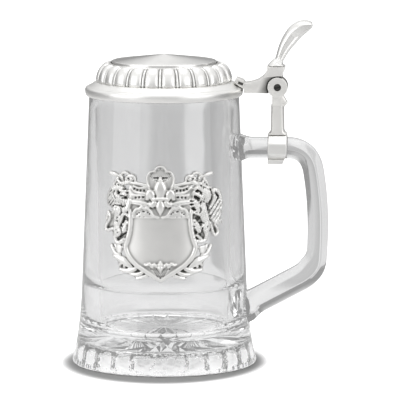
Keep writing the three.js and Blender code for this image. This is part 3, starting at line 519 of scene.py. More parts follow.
def handle():
    """A bevelled bar along the handle's line, thicker in the lower arm and flared where it meets the wall."""
    line = handle_line()
    rings = []
    for i, point in enumerate(line):
        along = (line[min(i + 1, len(line) - 1)] - line[max(i - 1, 0)]).normalized()
        swell = min(max((SWELL_Z - point.y) / (SWELL_Z - LOWER_BEND_Z), 0), 1)
        swell = swell * swell * (3 - 2 * swell)
        outside = max(point.x - wall_radius(point.y), 0)
        flare = ROOT_FLARE * max(1 - outside / ROOT_FLARE_REACH, 0) ** 2
        thick = ARM_THICK + (LOWER_THICK - ARM_THICK) * swell
        section = bevelled_section(thick / 2 + flare, HANDLE_WIDTH / 2 + flare, HANDLE_BEVEL)
        rings.append([(point.x - along.y * a, y, point.y + along.x * a) for a, y in section])
    return soften(skinned(rings), 1.0, 4, 30, 70)


def foot_hollow():
    """The hollow under the foot, with flutes that run out near the foot and where its wall rounds over."""
    levels = list(FLUTE_FEET)
    for k in range(9):
        turn = pi / 2 * k / 8
        inset = HOLLOW_DRAFT + HOLLOW_ROUND * (1 - cos(turn))
        levels.append((HOLLOW_Z - HOLLOW_ROUND * (1 - sin(turn)), inset, cos(turn)))
    turns = [2 * pi * k / (12 * FLUTES) for k in range(12 * FLUTES)]
    rings = []
    for z, inset, share in levels:
        radii = [HOLLOW_R - inset + FLUTE_DEPTH * share * (1 + cos(t * FLUTES)) / 2 for t in turns]
        rings.append([(r * cos(t), r * sin(t), z) for r, t in zip(radii, turns)])
    return skinned(rings)


def star_rays():
    """The star's mitre cuts, as separate bodies in the hollow's ceiling."""
    bm = bmesh.new()
    for k in range(STAR_RAYS):
        ray = bmesh.new()
        middle = Matrix.Translation(((STAR_HUB + STAR_R) / 2, 0, HOLLOW_Z))
        place = Matrix.Rotation(2 * pi * k / STAR_RAYS, 4, "Z") @ middle
        size = Matrix.Diagonal(((STAR_R - STAR_HUB) / 2, STAR_WIDTH / 2, STAR_DEPTH, 1))
        for top in (0, 1):
            ends = {"radius1": 1 - top, "radius2": top, "depth": 1}
            half = Matrix.Translation((0, 0, 0.5 - top))
            bmesh.ops.create_cone(ray, cap_ends=False, segments=4, matrix=place @ size @ half, **ends)
        bmesh.ops.remove_doubles(ray, verts=ray.verts, dist=1e-4)
        add(bm, ray)
    bmesh.ops.recalc_face_normals(bm, faces=bm.faces)
    return bm


def glass_tankard():
    bm = combined(spun(glass_profile(), 144), handle(), "UNION")
    bm = combined(bm, foot_hollow(), "DIFFERENCE")
    bm = combined(bm, star_rays(), "DIFFERENCE")
    piece("glass_body", bm, "tankard", "clear_glass", GLASS, "glass_tankard", sharp=28)


# Lid


def lid_profile():
    """The lid as (radius, height): down inside, under the flange, over the lobes, into the disc's seat."""
    seat = LOBE_TOP_Z - DISC_SEAT
    crown = seat - LID_WALL
    inner = LOBE_FOOT_R - LOBE_DEPTH - LID_WALL
    points = [(0, crown)]
    points += straight((0, crown), (LOBE_TOP_R - LOBE_DEPTH - LID_WALL, crown), 3)
    points += bend(points[-1], (inner, crown), (inner, LOBE_FOOT_Z - LID_WALL), 8)
    points += straight(points[-1], (BORE_R - 1.2, LID_FOOT), 2)
    points += straight(points[-1], (SKIRT_R, LID_FOOT), 3)
    points += [(SKIRT_R, SKIRT_Z + 0.3), (SKIRT_R + 0.2, SKIRT_Z)]
    points += bend(points[-1], (LID_R, SKIRT_Z), (LID_R, LID_FOOT + EDGE_R), 8)
    points += arc((LID_R - EDGE_R, LID_FOOT + EDGE_R), EDGE_R, 0, 90, 8)[1:]
    points += straight(points[-1], (LOBE_FOOT_R + 0.7, LOBE_FOOT_Z - 0.45), 4)
    points += bend(points[-1], (LOBE_FOOT_R + 0.2, LOBE_FOOT_Z - 0.3), (LOBE_FOOT_R, LOBE_FOOT_Z), 3)
    turns = [pi / 2 * k / 26 for k in range(1, 27)]
    points += [(LOBE_TOP_R + LOBE_REACH * cos(t), LOBE_FOOT_Z + LOBE_RISE * sin(t)) for t in turns]
    points += straight(points[-1], (DISC_R + 1.3, LOBE_TOP_Z), 2)
    points += bend(points[-1], (DISC_R + GAP, LOBE_TOP_Z), (DISC_R + GAP, LOBE_TOP_Z - 0.6), 3)
    return points + [(DISC_R + GAP, seat), (0, seat)]


def lobe_side(x, y):
    """0 on the middle of a lobe, 1 halfway between two lobes."""
    return abs((atan2(y, x) / (2 * pi) * LOBES) % 1 - 0.5) * 2


def gadroon(vert):
    """Sinks a point of the lid's shoulder into its lobe, with a bead between lobes and rounded ends."""
    x, y, z = vert.co
    across, up = (hypot(x, y) - LOBE_TOP_R) / LOBE_REACH, (z - LOBE_FOOT_Z) / LOBE_RISE
    if up < -1e-4 or across < -1e-4 or abs(hypot(across, up) - 1) > 0.01:
        return
    share = atan2(up, across) / (pi / 2)
    side = lobe_side(x, y)
    if side < GROOVE_SIDE:
        swell = (1 - (side / GROOVE_SIDE) ** 3) ** 0.7
    else:
        swell = BEAD_LIFT * sqrt(max(1 - ((1 - side) / (1 - GROOVE_SIDE)) ** 2, 0))
    foot = min(max(share, 0) / 0.1, 1)
    head = min(max(1 - share, 0) / 0.08, 1)
    sunk = LOBE_DEPTH * (1 - swell) * sqrt(head) * (0.35 + 0.65 * foot)
    sunk += 1.0 * (1 - sqrt(foot * (2 - foot)))
    sunk += 0.9 * (1 - sqrt(head * (2 - head)))
    turn = share * pi / 2
    radius = LOBE_TOP_R + (LOBE_REACH - sunk) * cos(turn)
    height = LOBE_FOOT_Z + (LOBE_RISE - sunk) * sin(turn)
    vert.co = (x * radius / hypot(x, y), y * radius / hypot(x, y), height)


def lid_painted_shade(x, y, z):
    """Painted shade round the disc and in the grooves between lobes and beads."""
    radius = hypot(x, y)
    if z > LOBE_TOP_Z - 1 and radius < DISC_R + 1.2:
        return 0.8
    if z < LOBE_FOOT_Z - 0.2 or radius < LOBE_TOP_R:
        return 0.0
    return 0.75 * max(1 - abs(lobe_side(x, y) - GROOVE_SIDE) / 0.1, 0)


def lid_casting():
    bm = spun(lid_profile(), LOBES * 32)
    for vert in bm.verts:
        gadroon(vert)
    obj = piece("lid_dome", bm, "lid", "bright_pewter", BRIGHT, "lid_casting", sharp=50)
    paint_shade(obj, lid_painted_shade)


def lid_disc():
    """A shallow cone with a groove inside its edge."""
    edge = DISC_FOOT + DISC_EDGE
    points = [(0, DISC_FOOT), (DISC_R, DISC_FOOT), (DISC_R, edge - 0.5)]
    points += bend(points[-1], (DISC_R, edge), (DISC_R - 0.6, edge), 4)
    points += bend((DISC_R - 0.9, edge), (DISC_R - 1.15, edge - 0.9), (DISC_R - 1.4, edge), 6)
    points += bend(points[-1], (DISC_R * 0.42, edge + 2.2), (0, edge + DISC_RISE), 24)
    piece("lid_turned_disc", spun(points, 128), "lid", "turned_pewter", TURNED, "lid_disc", sharp=50)


# Hinge


def tang_painted_shade(x, y, z):
    """Painted shade round the knuckle and in the sunk panels beside the flange."""
    round_ear = hypot(x - HINGE_X, z - HINGE_Z) < EAR_R + 2.2 * GAP
    in_panel = x < 45.5 and 3.5 < abs(y) < HINGE_WIDTH / 2 - 0.5
    return 0.9 if round_ear or in_panel else 0.0


def lid_tang():
    """The arm from the flange to the knuckle, with the column under the lever and pockets for the ears."""
    top = HINGE_Z + COLUMN_RISE
    outline = [(39.4, 158.6), (42.2, 156.3), (44.8, 155.0), (44.8, 152.6)]
    outline += straight(outline[-1], (HINGE_X - 4.6, 152.5), 2)
    outline += arc((HINGE_X, HINGE_Z), EAR_R, 216, 420, 40)
    outline += [(HINGE_X + 2.6, HINGE_Z + 6.6), (HINGE_X + 4.1, HINGE_Z + 10.3)]
    outline += [(HINGE_X + 4.1, top), (HINGE_X - 5.9, top), (HINGE_X - 5.7, HINGE_Z + 9.9)]
    outline += bend(outline[-1], (HINGE_X - 7.6, HINGE_Z + 3.1), (45.4, 157.9), 16)
    outline += [(44.4, 159.4), (40.6, 160.8)]
    bm = soften(plank(outline, HINGE_WIDTH), 0.3, 2, 40)
    pocket = (HINGE_WIDTH - KNUCKLE_WIDTH) / 2
    for side in (-1, 1):
        cut = bar(EAR_R + 2 * GAP, 2 * pocket, side * (KNUCKLE_WIDTH / 2 + pocket), 96)
        bm = combined(bm, cut, "DIFFERENCE")
    bm = combined(bm, bar(PIN_R + 0.1, 2 * HINGE_WIDTH), "DIFFERENCE")
    tilt = Matrix.Rotation(radians(20), 4, "Y")
    for side in (-1, 1):
        place = Matrix.Translation((43.0, side * HINGE_WIDTH / 2, 158.0)) @ tilt
        bm = combined(bm, block((2.9, 2.4, 1.5), place), "DIFFERENCE")
    obj = piece("lid_arm", bm, "lid", "satin_pewter", SATIN, "lid_tang")
    paint_shade(obj, tang_painted_shade)


def hinge_shank():
    """A moulded post on the strap, with two round ears on a neck and a stop spur behind."""
    foot, step = POST_FOOT, HINGE_Z - POST_DROP
    levels = [(foot, 5.3), (foot + 0.5, 5.2), (foot + 0.9, 4.6), (foot + 1.7, 3.95), (foot + 2.6, 3.7)]
    levels += [(step - 0.6, 3.55), (step - 0.1, 3.6), (step + 0.5, 3.0)]
    rings = []
    for z, half in levels:
        section = bevelled_section(half, 5.2, 1.1)
        rings.append([(HINGE_X + x, y, z) for x, y in section])
    neck = [(HINGE_X - 3, step), (HINGE_X + 3, step)]
    neck += [(HINGE_X + 3, HINGE_Z - 2.4), (HINGE_X - 3, HINGE_Z - 2.4)]
    spur = [(HINGE_X, HINGE_Z - 4.7), (HINGE_X + 3, HINGE_Z - 4.7), (HINGE_X + 5.6, HINGE_Z - 9)]
    spur += [(HINGE_X + 3.7, step - 1.1), (HINGE_X, step - 1.1)]
    bm = soften(bar(EAR_R, HINGE_WIDTH, 0, 96), 0.3, 3, 60)
    bm = combined(bm, soften(plank(neck, HINGE_WIDTH - 0.3), 0.3), "UNION")
    bm = combined(bm, soften(skinned(rings), 0.2), "UNION")
    bm = combined(bm, soften(plank(spur, 6), 0.4), "UNION")
    slot = KNUCKLE_WIDTH + 2 * GAP
    bm = combined(bm, bar(EAR_R + GAP, slot, 0, 96), "DIFFERENCE")
    mouth = block((4 * EAR_R, slot, 2 * EAR_R), Matrix.Translation((HINGE_X, 0, HINGE_Z + EAR_R / 2)))
    bm = combined(bm, mouth, "DIFFERENCE")
    bm = combined(bm, bar(PIN_R + 0.1, 2 * HINGE_WIDTH), "DIFFERENCE")
    piece("hinge_post", bm, "tankard", "satin_pewter", SATIN, "hinge_shank")


def pin_painted_shade(x, y, z):
    """Painted shade everywhere but on the slotted end."""
    on_end = y < -HINGE_WIDTH / 2 + 0.1 and hypot(x - HINGE_X, z - HINGE_Z) < 1.6
    return 0.0 if on_end else 1.0


def hinge_pin():
    bm = soften(bar(PIN_R, HINGE_WIDTH, 0, 48), 0.25, 3, 60)
    place = Matrix.Translation((HINGE_X, -HINGE_WIDTH / 2, HINGE_Z)) @ Matrix.Rotation(radians(-14), 4, "Y")
    bm = combined(bm, block((4 * PIN_R, 1.8, 0.8), place), "DIFFERENCE")
    obj = piece("hinge_pin_screw", bm, "tankard", "pin_steel", PIN_STEEL, "hinge_pin")
    paint_shade(obj, pin_painted_shade)


def arm_sleeve(grow, x0, x1):
    """A length of the handle's top arm, grown all round."""
    half_z, half_y = ARM_THICK / 2 + grow, HANDLE_WIDTH / 2 + grow
    section = bevelled_section(half_z, half_y, HANDLE_BEVEL + grow * 0.586)
    return skinned([[(x, y, ARM_Z + z) for z, y in section] for x in (x0, x1)])


def handle_strap():
    """A band round the top arm, with its lapped end underneath cut back at a slant."""
    front, back = HINGE_X - STRAP_WIDTH / 2, HINGE_X + STRAP_WIDTH / 2
    under = ARM_Z - ARM_THICK / 2 - STRAP_THICK
    bm = soften(arm_sleeve(STRAP_THICK, front, back), 0.7, 4, 30)
    lap = block((STRAP_WIDTH, 12, 2.6), Matrix.Translation((HINGE_X, -1.3, under)))
    bm = combined(bm, soften(lap, 0.3), "UNION")
    bm = combined(bm, arm_sleeve(0.3, front - 5, back + 5), "DIFFERENCE")
    lap_end = front + STRAP_LAP_WIDTH
    corner = [(back + 1, ARM_Z - 2.9), (back, ARM_Z - 2.9), (lap_end, under - 1.4), (lap_end, under - 4)]
    corner += [(back + 1, under - 4)]
    bm = combined(bm, plank(corner, 40), "DIFFERENCE")
    piece("handle_band", bm, "tankard", "bright_pewter", BRIGHT, "handle_strap")


# The lever from foot to tip: x, z, thickness, half width and how far its sides are hollowed
LEVER = (
    (62.6, 167.5, 9.6, 5.6, 0),
    (62.8, 168.3, 9.2, 5.4, 0),
    (63.4, 169.2, 6.6, 4.4, 0),
    (64.1, 170.4, 4.9, 3.7, 0),
    (64.5, 171.3, 4.7, 3.5, 1),
    (66.4, 176.0, 6.3, 3.5, 0.9),
    (68.3, 179.6, 7.5, 3.8, 0.8),
    (70.5, 182.8, 8.5, 4.4, 0.8),
    (72.2, 185.1, 8.8, 4.9, 1),
    (72.9, 185.9, 8.8, 5.0, 0),
    (74.9, 187.8, 8.8, 5.5, 0),
    (77.6, 189.4, 7.9, 5.9, 0),
    (80.5, 190.3, 5.8, 6.0, 0),
    (82.6, 190.5, 2.8, 5.8, 0),
)


def thumblift():
    line = [Vector(station[:2]) for station in LEVER]
    rings = []
    for i, (x, z, thick, half, recess) in enumerate(LEVER):
        along = Vector((0, 1)) if i < 2 else (line[min(i + 1, len(line) - 1)] - line[i - 1]).normalized()
        web = half - 0.9 * recess
        side = [(-0.5, 0.35 * half), (-0.36, 0.78 * half), (-0.18, half), (-0.13, half), (-0.1, web)]
        side += [(0.26, web), (0.3, half), (0.36, half), (0.5, 0.85 * half)]
        section = side + [(a, -y) for a, y in reversed(side)]
        rings.append([(x + along.y * a * thick, y, z - along.x * a * thick) for a, y in section])
    bm = skinned(rings)
    crease = bm.edges.layers.float.new("crease_edge")
    for edge in [e for f in bm.faces if len(f.verts) > 4 for e in f.edges]:
        edge[crease] = 0.7
    bm = shaped(bm, "SUBSURF", levels=3, render_levels=3)
    piece("thumb_lever", bm, "lid", "bright_pewter", BRIGHT, "thumblift", sharp=50)


# Crest, drawn flat as (across, up the glass, half width, lift) and then laid round the glass


def flowing(stations):
    """Points on a smooth line through stations, with blunt ends."""
    knots = [Vector((u, z, half, lift)) for u, z, half, lift in stations]
    knots = [2 * knots[0] - knots[1], *knots, 2 * knots[-1] - knots[-2]]
    line = []
    for a, b, c, d in zip(knots, knots[1:], knots[2:], knots[3:]):
        steps = max(2, round((c - b).xy.length / RIB_STEP))
        for t in (k / steps for k in range(steps)):
            curve = (2 * a - 5 * b + 4 * c - d) * t ** 2 + (3 * b - a - 3 * c + d) * t ** 3
            line.append((2 * b + (c - a) * t + curve) / 2)
    line.append(knots[-2])
    first, last = blunt_end(line[0], line[1]), blunt_end(line[-1], line[-2])
    return first[::-1] + line + last


def blunt_end(end, inner):
    """Points that round off a rib's end."""
    out = (end - inner).xy.normalized() * end.z
    points = []
    for t in BLUNT_STEPS:
        narrow = sqrt(1 - t * t)
        points.append(Vector((*(end.xy + out * t), end.z * narrow, end.w * narrow)))
    return points


def rib(bm, *stations):
    """A rounded rib: a ball drawn out along a line and flattened at the back."""
    line = flowing(stations)
    ball = bmesh.new()
    bmesh.ops.create_uvsphere(ball, u_segments=16, v_segments=len(line) + 1, radius=1)
    for vert in ball.verts:
        turn = atan2(vert.co.y, vert.co.x)
        k = round((0.5 - asin(min(max(vert.co.z, -1), 1)) / pi) * (len(line) + 1)) - 1
        pole = 0.0 if k < 0 or k == len(line) else 1.0
        k = min(max(k, 0), len(line) - 1)
        here = line[k]
        along = (line[min(k + 1, len(line) - 1)] - line[max(k - 1, 0)]).xy.normalized()
        across = Vector((along.y, -along.x)) * here.z * pole * cos(turn)
        vert.co = (here.x + across.x, here.y + across.y, here.w * pole * max(sin(turn), 0) ** RIB_FULLNESS)
    add(bm, ball)


def strands(bm, lines, half, lift):
    """Ribs that thin out from root to tip, each given by its points."""
    for line in lines:
        last = len(line) - 1
        fade = [1 - STRAND_FADE * k / last for k in range(last + 1)]
        rib(bm, *((u, z, half * f, lift * (0.4 + 0.6 * f)) for (u, z), f in zip(line, fade)))


def plate(bm, outline, lift):
    """A flat plate from the glass up to a lift."""
    extruded(bm, [(u, z, 0) for u, z in outline], (0, 0, lift))


def both_sides(points):
    """A closed outline from its right half, given from top to foot."""
    return points + [(-p[0], *p[1:]) for p in reversed(points) if abs(p[0]) > 1e-6]


# Ribs of the lion, the griffin and the lily; mane and neck feathers as (across, up) lines
LION = (
    ((-26.8, 102.8, 1.1, 2.9), (-23.4, 103.9, 1.3, 3.3), (-20.6, 103.7, 1.1, 3.2)),
    ((-22.1, 102.6, 1, 3.4), (-20.1, 102.3, 1.1, 3.5), (-18.8, 102.2, 1, 3.2)),
    ((-24.9, 100.9, 1.1, 3), (-24.1, 99.5, 1.6, 3.3), (-22.6, 98.9, 1.3, 3.2)),
    ((-21.3, 100.5, 1.1, 3.3), (-19.6, 100.5, 1.2, 3.4), (-18.7, 100.2, 1, 3)),
    ((-22.4, 98.4, 0.9, 2.9), (-20.8, 99, 0.9, 2.9)),
    ((-24.1, 93.8, 2.1, 3.2), (-23.6, 92.3, 3, 3.8), (-22.8, 90.4, 3, 3.5)),
    ((-22.8, 90.6, 3.2, 3.3), (-22.8, 87.8, 3, 3.1), (-23.5, 85.1, 2.5, 3), (-23.8, 82.7, 2.3, 2.9)),
    ((-23.7, 82.5, 2.3, 3), (-23.1, 80.2, 2.8, 3.5), (-23.7, 78, 2.1, 3)),
    ((-24.5, 78, 1.6, 2.8), (-25.2, 75.7, 1.2, 2.5), (-23.9, 73.6, 1.2, 2.5), (-22, 73.1, 1.2, 2.5)),
    ((-22.6, 73.4, 1.1, 2.5), (-20.9, 74.5, 1.1, 2.6), (-19.7, 75.8, 0.9, 2.4)),
    ((-20.9, 73.4, 0.7, 2.3), (-19.6, 74.2, 0.7, 2.1)),
    ((-21.6, 81.2, 1.4, 2.9), (-19.8, 79.8, 1.3, 2.9), (-19.2, 82.1, 1.2, 2.8), (-18.9, 84.2, 1, 2.6)),
    ((-19.7, 82.8, 0.7, 2.5), (-20.6, 84.1, 0.6, 2.3)),
    ((-19, 83.9, 0.7, 2.5), (-18.6, 85.9, 0.6, 2.3)),
    ((-18.6, 83.4, 0.7, 2.4), (-17.4, 85.1, 0.6, 2.2)),
    ((-22, 91.3, 1.7, 3.4), (-19.4, 91.7, 1.7, 3.4), (-17.6, 93.1, 1.5, 3.2), (-16.8, 95.5, 1.2, 3),
     (-16.3, 97.9, 0.8, 2.6)),
    ((-17.8, 94.2, 0.8, 2.9), (-18.4, 95.9, 0.7, 2.8), (-18.8, 97.6, 0.5, 2.4)),
    ((-17.2, 95.4, 0.7, 2.9), (-17.3, 97, 0.7, 2.7), (-17.2, 98.4, 0.5, 2.3)),
    ((-20.4, 89.2, 1.1, 2.8), (-18.6, 89.5, 1, 2.7), (-17.2, 88.2, 0.8, 2.4)),
    ((-26.2, 81, 1, 2.2), (-28.2, 80.3, 1, 2.2), (-30.4, 79.6, 1, 2.1), (-31.7, 81, 0.9, 2.1),
     (-30.5, 83.7, 1, 2.2), (-28.8, 86.5, 1, 2.2), (-29, 88.6, 1, 2.2), (-30.4, 89.9, 0.8, 2)),
    ((-30, 88.7, 0.9, 2.1), (-31.3, 86.9, 0.8, 2), (-31.1, 85.3, 0.6, 1.8)),
)
MANE = (
    ((-24.1, 102.6), (-26.8, 101.8), (-29.2, 99.9)),
    ((-25.7, 104.3), (-27.8, 103.4), (-29.1, 101.6)),
    ((-24.8, 101), (-27.7, 99.5), (-30.2, 96.9)),
    ((-24.9, 99.8), (-27.6, 98), (-30.4, 95.1)),
    ((-24.5, 98.7), (-26.9, 96.7), (-29.7, 93.5)),
    ((-23.8, 98.1), (-25.7, 95.9), (-28.2, 93)),
    ((-23, 97.7), (-24.2, 95.7), (-26.2, 94.1)),
    ((-22.3, 97.7), (-23, 95.7), (-24, 94.3)),
    ((-21.5, 97.7), (-21.7, 95.7), (-22.3, 94)),
    ((-20.7, 97.8), (-20.5, 95.7), (-20.7, 93.7)),
    ((-20, 97.6), (-19.6, 95.8), (-19.8, 94.1)),
)
GRIFFIN = (
    ((18.6, 103.7, 1, 3.2), (20, 104.3, 1.3, 3.5), (22.1, 103.2, 1.2, 3.3)),
    ((22.6, 102.4, 1.7, 3.3), (24.5, 101, 3.1, 3.8), (25.4, 98.4, 2.6, 3.4), (25.1, 96.7, 1.6, 3)),
    ((17.8, 102.2, 0.8, 3), (19.2, 100.7, 1, 3.3), (21.2, 99.5, 1.1, 3.3), (22.9, 98.5, 1.1, 3.1)),
    ((17.7, 102, 0.8, 2.9), (17.5, 100.3, 0.7, 2.5), (18, 99.3, 0.4, 2)),
    ((20.2, 101.5, 0.6, 3.1), (20.8, 101.4, 0.6, 3.1)),
    ((23, 105.1, 0.7, 2.6), (25.8, 104, 0.8, 2.7), (28.2, 103.7, 0.7, 2.3)),
    ((28.9, 101.5, 1.2, 2.8), (30.5, 102.2, 1.3, 2.9), (32.3, 101.6, 1.4, 2.9), (33.7, 99.6, 1.2, 2.7),
     (34.7, 96.5, 1.1, 2.4), (35.2, 92.8, 0.8, 2)),
    ((29.4, 100.2, 1.1, 2.8), (30, 97.7, 1.2, 2.8), (29.1, 95.3, 1.1, 2.6)),
    ((31.2, 98.4, 0.8, 2.7), (29.4, 95.6, 0.9, 2.6), (26.9, 92.2, 0.8, 2.2)),
    ((33, 96.6, 0.8, 2.6), (30.1, 92.9, 0.9, 2.5), (27.3, 89.1, 0.8, 2.1)),
    ((33.8, 94.3, 0.8, 2.5), (31, 90.6, 0.9, 2.4), (28.1, 86.5, 0.8, 2)),
    ((34.4, 92.1, 0.8, 2.4), (32, 88.7, 0.9, 2.3), (29.2, 85, 0.7, 1.9)),
    ((34.7, 90.1, 0.7, 2.2), (33.1, 87.4, 0.8, 2.1), (30.9, 84.8, 0.6, 1.8)),
    ((20.8, 90.9, 1.5, 3), (19.8, 93.9, 1.9, 3.3), (18.3, 96.6, 1.7, 3.2), (17.3, 97.8, 1.1, 2.9)),
    ((17.4, 97.8, 0.7, 2.9), (15.9, 97.9, 0.6, 2.3)),
    ((17.5, 96.2, 0.7, 2.9), (15.8, 95.9, 0.6, 2.3)),
    ((18, 94.4, 0.7, 2.9), (16.2, 93.8, 0.6, 2.3)),
    ((18.5, 90.6, 1.2, 2.9), (19.6, 90.1, 1.4, 3), (21.3, 89.3, 1.4, 3)),
    ((22.9, 94.7, 1.6, 3.1), (22.9, 92.8, 2.3, 3.5), (22.9, 90.4, 2.4, 3.4)),
    ((23.2, 90.6, 2.5, 3.2), (23.8, 88, 2.8, 3.2), (24.7, 85.5, 2.4, 3)),
    ((24.5, 84.9, 2.3, 3.1), (24.3, 82.3, 2.8, 3.5), (24.7, 79.9, 1.9, 3)),
    ((24.8, 79.9, 1.4, 2.8), (24.8, 77.3, 1.3, 2.6), (24.4, 75.5, 1.2, 2.5), (22.9, 74.4, 1.2, 2.5),
     (20.6, 74.2, 1.1, 2.3), (19.3, 74.9, 0.8, 2)),
    ((19.3, 78, 0.8, 2.3), (20.4, 77, 0.9, 2.4), (21.8, 75.7, 0.8, 2.2)),
    ((20.6, 80, 1.3, 2.8), (19.7, 82.2, 1.8, 3), (18.6, 84.4, 1.7, 3), (18.1, 86.1, 1.1, 2.6)),
    ((17.7, 84.9, 0.7, 2.6), (17, 85.6, 0.5, 2.2)),
    ((18, 83, 0.7, 2.6), (17.3, 83.1, 0.5, 2.2)),
    ((19.7, 80.4, 0.7, 2.5), (21, 81.1, 0.7, 2.4)),
    ((26.7, 84.9, 1, 2.3), (28.1, 82, 0.9, 2.2), (29.1, 78.8, 0.9, 2.1), (30.4, 77, 0.9, 2.1),
     (32.1, 78.4, 0.9, 2.1), (32, 80.7, 0.9, 2.1), (30.6, 82.7, 0.9, 2.1), (31, 84.8, 0.9, 2.1),
     (32.7, 86.2, 0.8, 2)),
    ((31.4, 85, 0.7, 2.1), (33.8, 86.5, 0.7, 1.9)),
    ((31.5, 84.4, 0.7, 2.1), (34.8, 85.1, 0.7, 1.9)),
    ((31.6, 83.7, 0.7, 2), (34.9, 83.5, 0.7, 1.8)),
)
NECK_FEATHERS = (
    ((21.5, 97.9), (21.2, 96.2)),
    ((22.7, 97.4), (22.7, 95.7)),
    ((24.1, 96.9), (24.2, 95.1)),
    ((25.7, 96.8), (25.9, 95.1)),
)
LILY = (
    ((0, 110.3, 0.4, 2.2), (0, 107.3, 2.2, 3), (0, 104.2, 3.6, 3.4), (0, 101.3, 2.9, 3.3),
     (0, 99.2, 2.1, 3.1)),
    ((-3.4, 98.5, 1, 3.6), (0, 98.5, 1.1, 3.8), (3.5, 98.5, 1, 3.6)),
    ((0, 97.4, 1.4, 2.9), (0, 94.4, 2.5, 3.2), (0, 92.1, 2, 3), (0, 89.5, 0.4, 2.1)),
    ((0, 63.7, 0.5, 2.2), (0, 62.3, 1.6, 3), (0, 61.3, 1.3, 2.8)),
    ((0, 61, 1.3, 2.8), (0, 59.7, 1.6, 2.9), (0, 58.1, 0.6, 2.2)),
)
# Crown, plume, bars, drapery, leaves and scrolls, drawn on the right and turned over for the left
MANTLING = (
    ((22.9, 109.9, 0.8, 2.6), (21.1, 111.9, 0.9, 2.9), (19.1, 112.4, 0.9, 2.9), (17.3, 111.2, 0.8, 2.6)),
    ((17.3, 110.2, 0.8, 2.6), (15.6, 110.9, 0.9, 2.8), (14, 110, 0.8, 2.7), (13.5, 108.1, 0.7, 2.4)),
    ((21.3, 109.9, 0.9, 2.8), (21, 108.8, 0.9, 2.8)),
    ((18.7, 109.8, 0.9, 2.8), (18.5, 108.7, 0.9, 2.8)),
    ((16, 109.3, 0.8, 2.5), (15.3, 108.6, 0.8, 2.5)),
    ((22.3, 106.3, 1, 2.8), (19.5, 106.6, 1.3, 3), (16.9, 107.3, 1.1, 2.8)),
    ((24.1, 108.8, 0.8, 2.4), (25.3, 107.2, 0.9, 2.5), (26.6, 105.3, 0.7, 2.2)),
    ((23.1, 107.6, 0.7, 2.5), (23.8, 106.2, 0.8, 2.5), (24.7, 104.8, 0.7, 2.3)),
    ((24.5, 110.4, 0.9, 2.2), (26.9, 111.1, 1.2, 2.4), (29.5, 111.6, 1, 2.1)),
    ((16.4, 107, 0.9, 2.3), (11.9, 106.5, 0.9, 2.3), (7.8, 105.7, 0.9, 2.2)),
    ((15.3, 96.8, 0.8, 2.2), (10.5, 96.4, 0.8, 2.3), (5.8, 95.4, 0.8, 2.2)),
    ((15.2, 95.7, 0.6, 2.1), (10.5, 95.1, 0.7, 2.1), (5.8, 94, 0.7, 2.1)),
    ((14.7, 105.1, 0.5, 1.9), (11.2, 104.1, 0.6, 2), (7.3, 104.9, 0.5, 1.9)),
    ((16.1, 103.9, 0.5, 1.9), (13, 101.7, 0.6, 2), (7.6, 101.2, 0.6, 2)),
    ((15.2, 100.1, 0.4, 1.8), (7.5, 100.1, 0.4, 1.8)),
    ((1.5, 60.5, 0.7, 2), (3.1, 62, 1, 2.4), (4.4, 61.1, 0.8, 2)),
    ((4.1, 60.2, 0.6, 1.9), (5.5, 62.3, 1, 2.4), (7.1, 61.6, 0.8, 2.1), (7.9, 62, 0.6, 1.9)),
    ((27.7, 71.8, 0.9, 1.9), (26.3, 69.3, 1.1, 2.1), (24.5, 67.1, 1.1, 2.1), (22.2, 66.7, 1, 2)),
    ((25.1, 72.3, 0.8, 1.9), (23.4, 68.9, 0.9, 2)),
    ((26.2, 66.2, 0.9, 1.8), (23.2, 65, 1.5, 2.3), (20.5, 64, 2.2, 2.6), (17.8, 62.1, 1.8, 2.4),
     (15.7, 60.4, 1.2, 2.1)),
    ((22.2, 61.1, 0.9, 1.8), (20.8, 62.3, 1, 2), (19.1, 61.7, 1, 2.1), (19.4, 60.4, 0.9, 1.9)),
    ((22, 58.7, 0.9, 1.8), (18.5, 58, 1.4, 2.2), (15.8, 58.4, 1.6, 2.3), (13.1, 59.4, 1.2, 2)),
    ((16.2, 56.6, 0.8, 1.7), (13.5, 56.2, 1.2, 2.1), (11, 56.7, 1.2, 2.1), (9.2, 57.6, 1, 1.9)),
    ((12.7, 54, 0.7, 1.7), (10.3, 54.5, 1.1, 2), (7.2, 55.6, 1.1, 1.9)),
    ((4, 97.9, 1.1, 2.9), (4.6, 100.6, 2, 3.3), (5.5, 102.4, 1.7, 3.3), (6.5, 100.6, 1.6, 3.1),
     (6.9, 98.3, 1.2, 2.7)),
    ((2.8, 96.8, 1.3, 2.9), (4.1, 95, 1.8, 3.1), (5.6, 95.8, 1.2, 2.8)),
)
FRILL = (
    (14.4, 87.8, 0.7, 2.1), (14.2, 90.8, 0.8, 2.3), (12.8, 92.6, 0.8, 2.4), (11.4, 92.7, 0.8, 2.3),
    (10, 93.8, 0.9, 2.4), (8.3, 93, 0.8, 2.3), (6.6, 93.1, 0.8, 2.4), (5.1, 91.5, 0.8, 2.3),
    (4.3, 89.6, 0.8, 2.2), (2.8, 88.5, 0.6, 2), (1, 88.1, 0.5, 1.8),
)
SHIELD_RIM = (
    (16.6, 91.8, 1, 2.3), (16, 86.9, 1.3, 2.5), (16.5, 80.2, 1.4, 2.5), (17.6, 75.2, 1.4, 2.5),
    (18.7, 71.6, 1.4, 2.5), (18, 68.5, 1.4, 2.5), (16.1, 65.2, 1.4, 2.5), (12, 61.1, 1.3, 2.5),
    (6.8, 57.7, 1.3, 2.5), (0, 53.1, 1.1, 2.4),
)
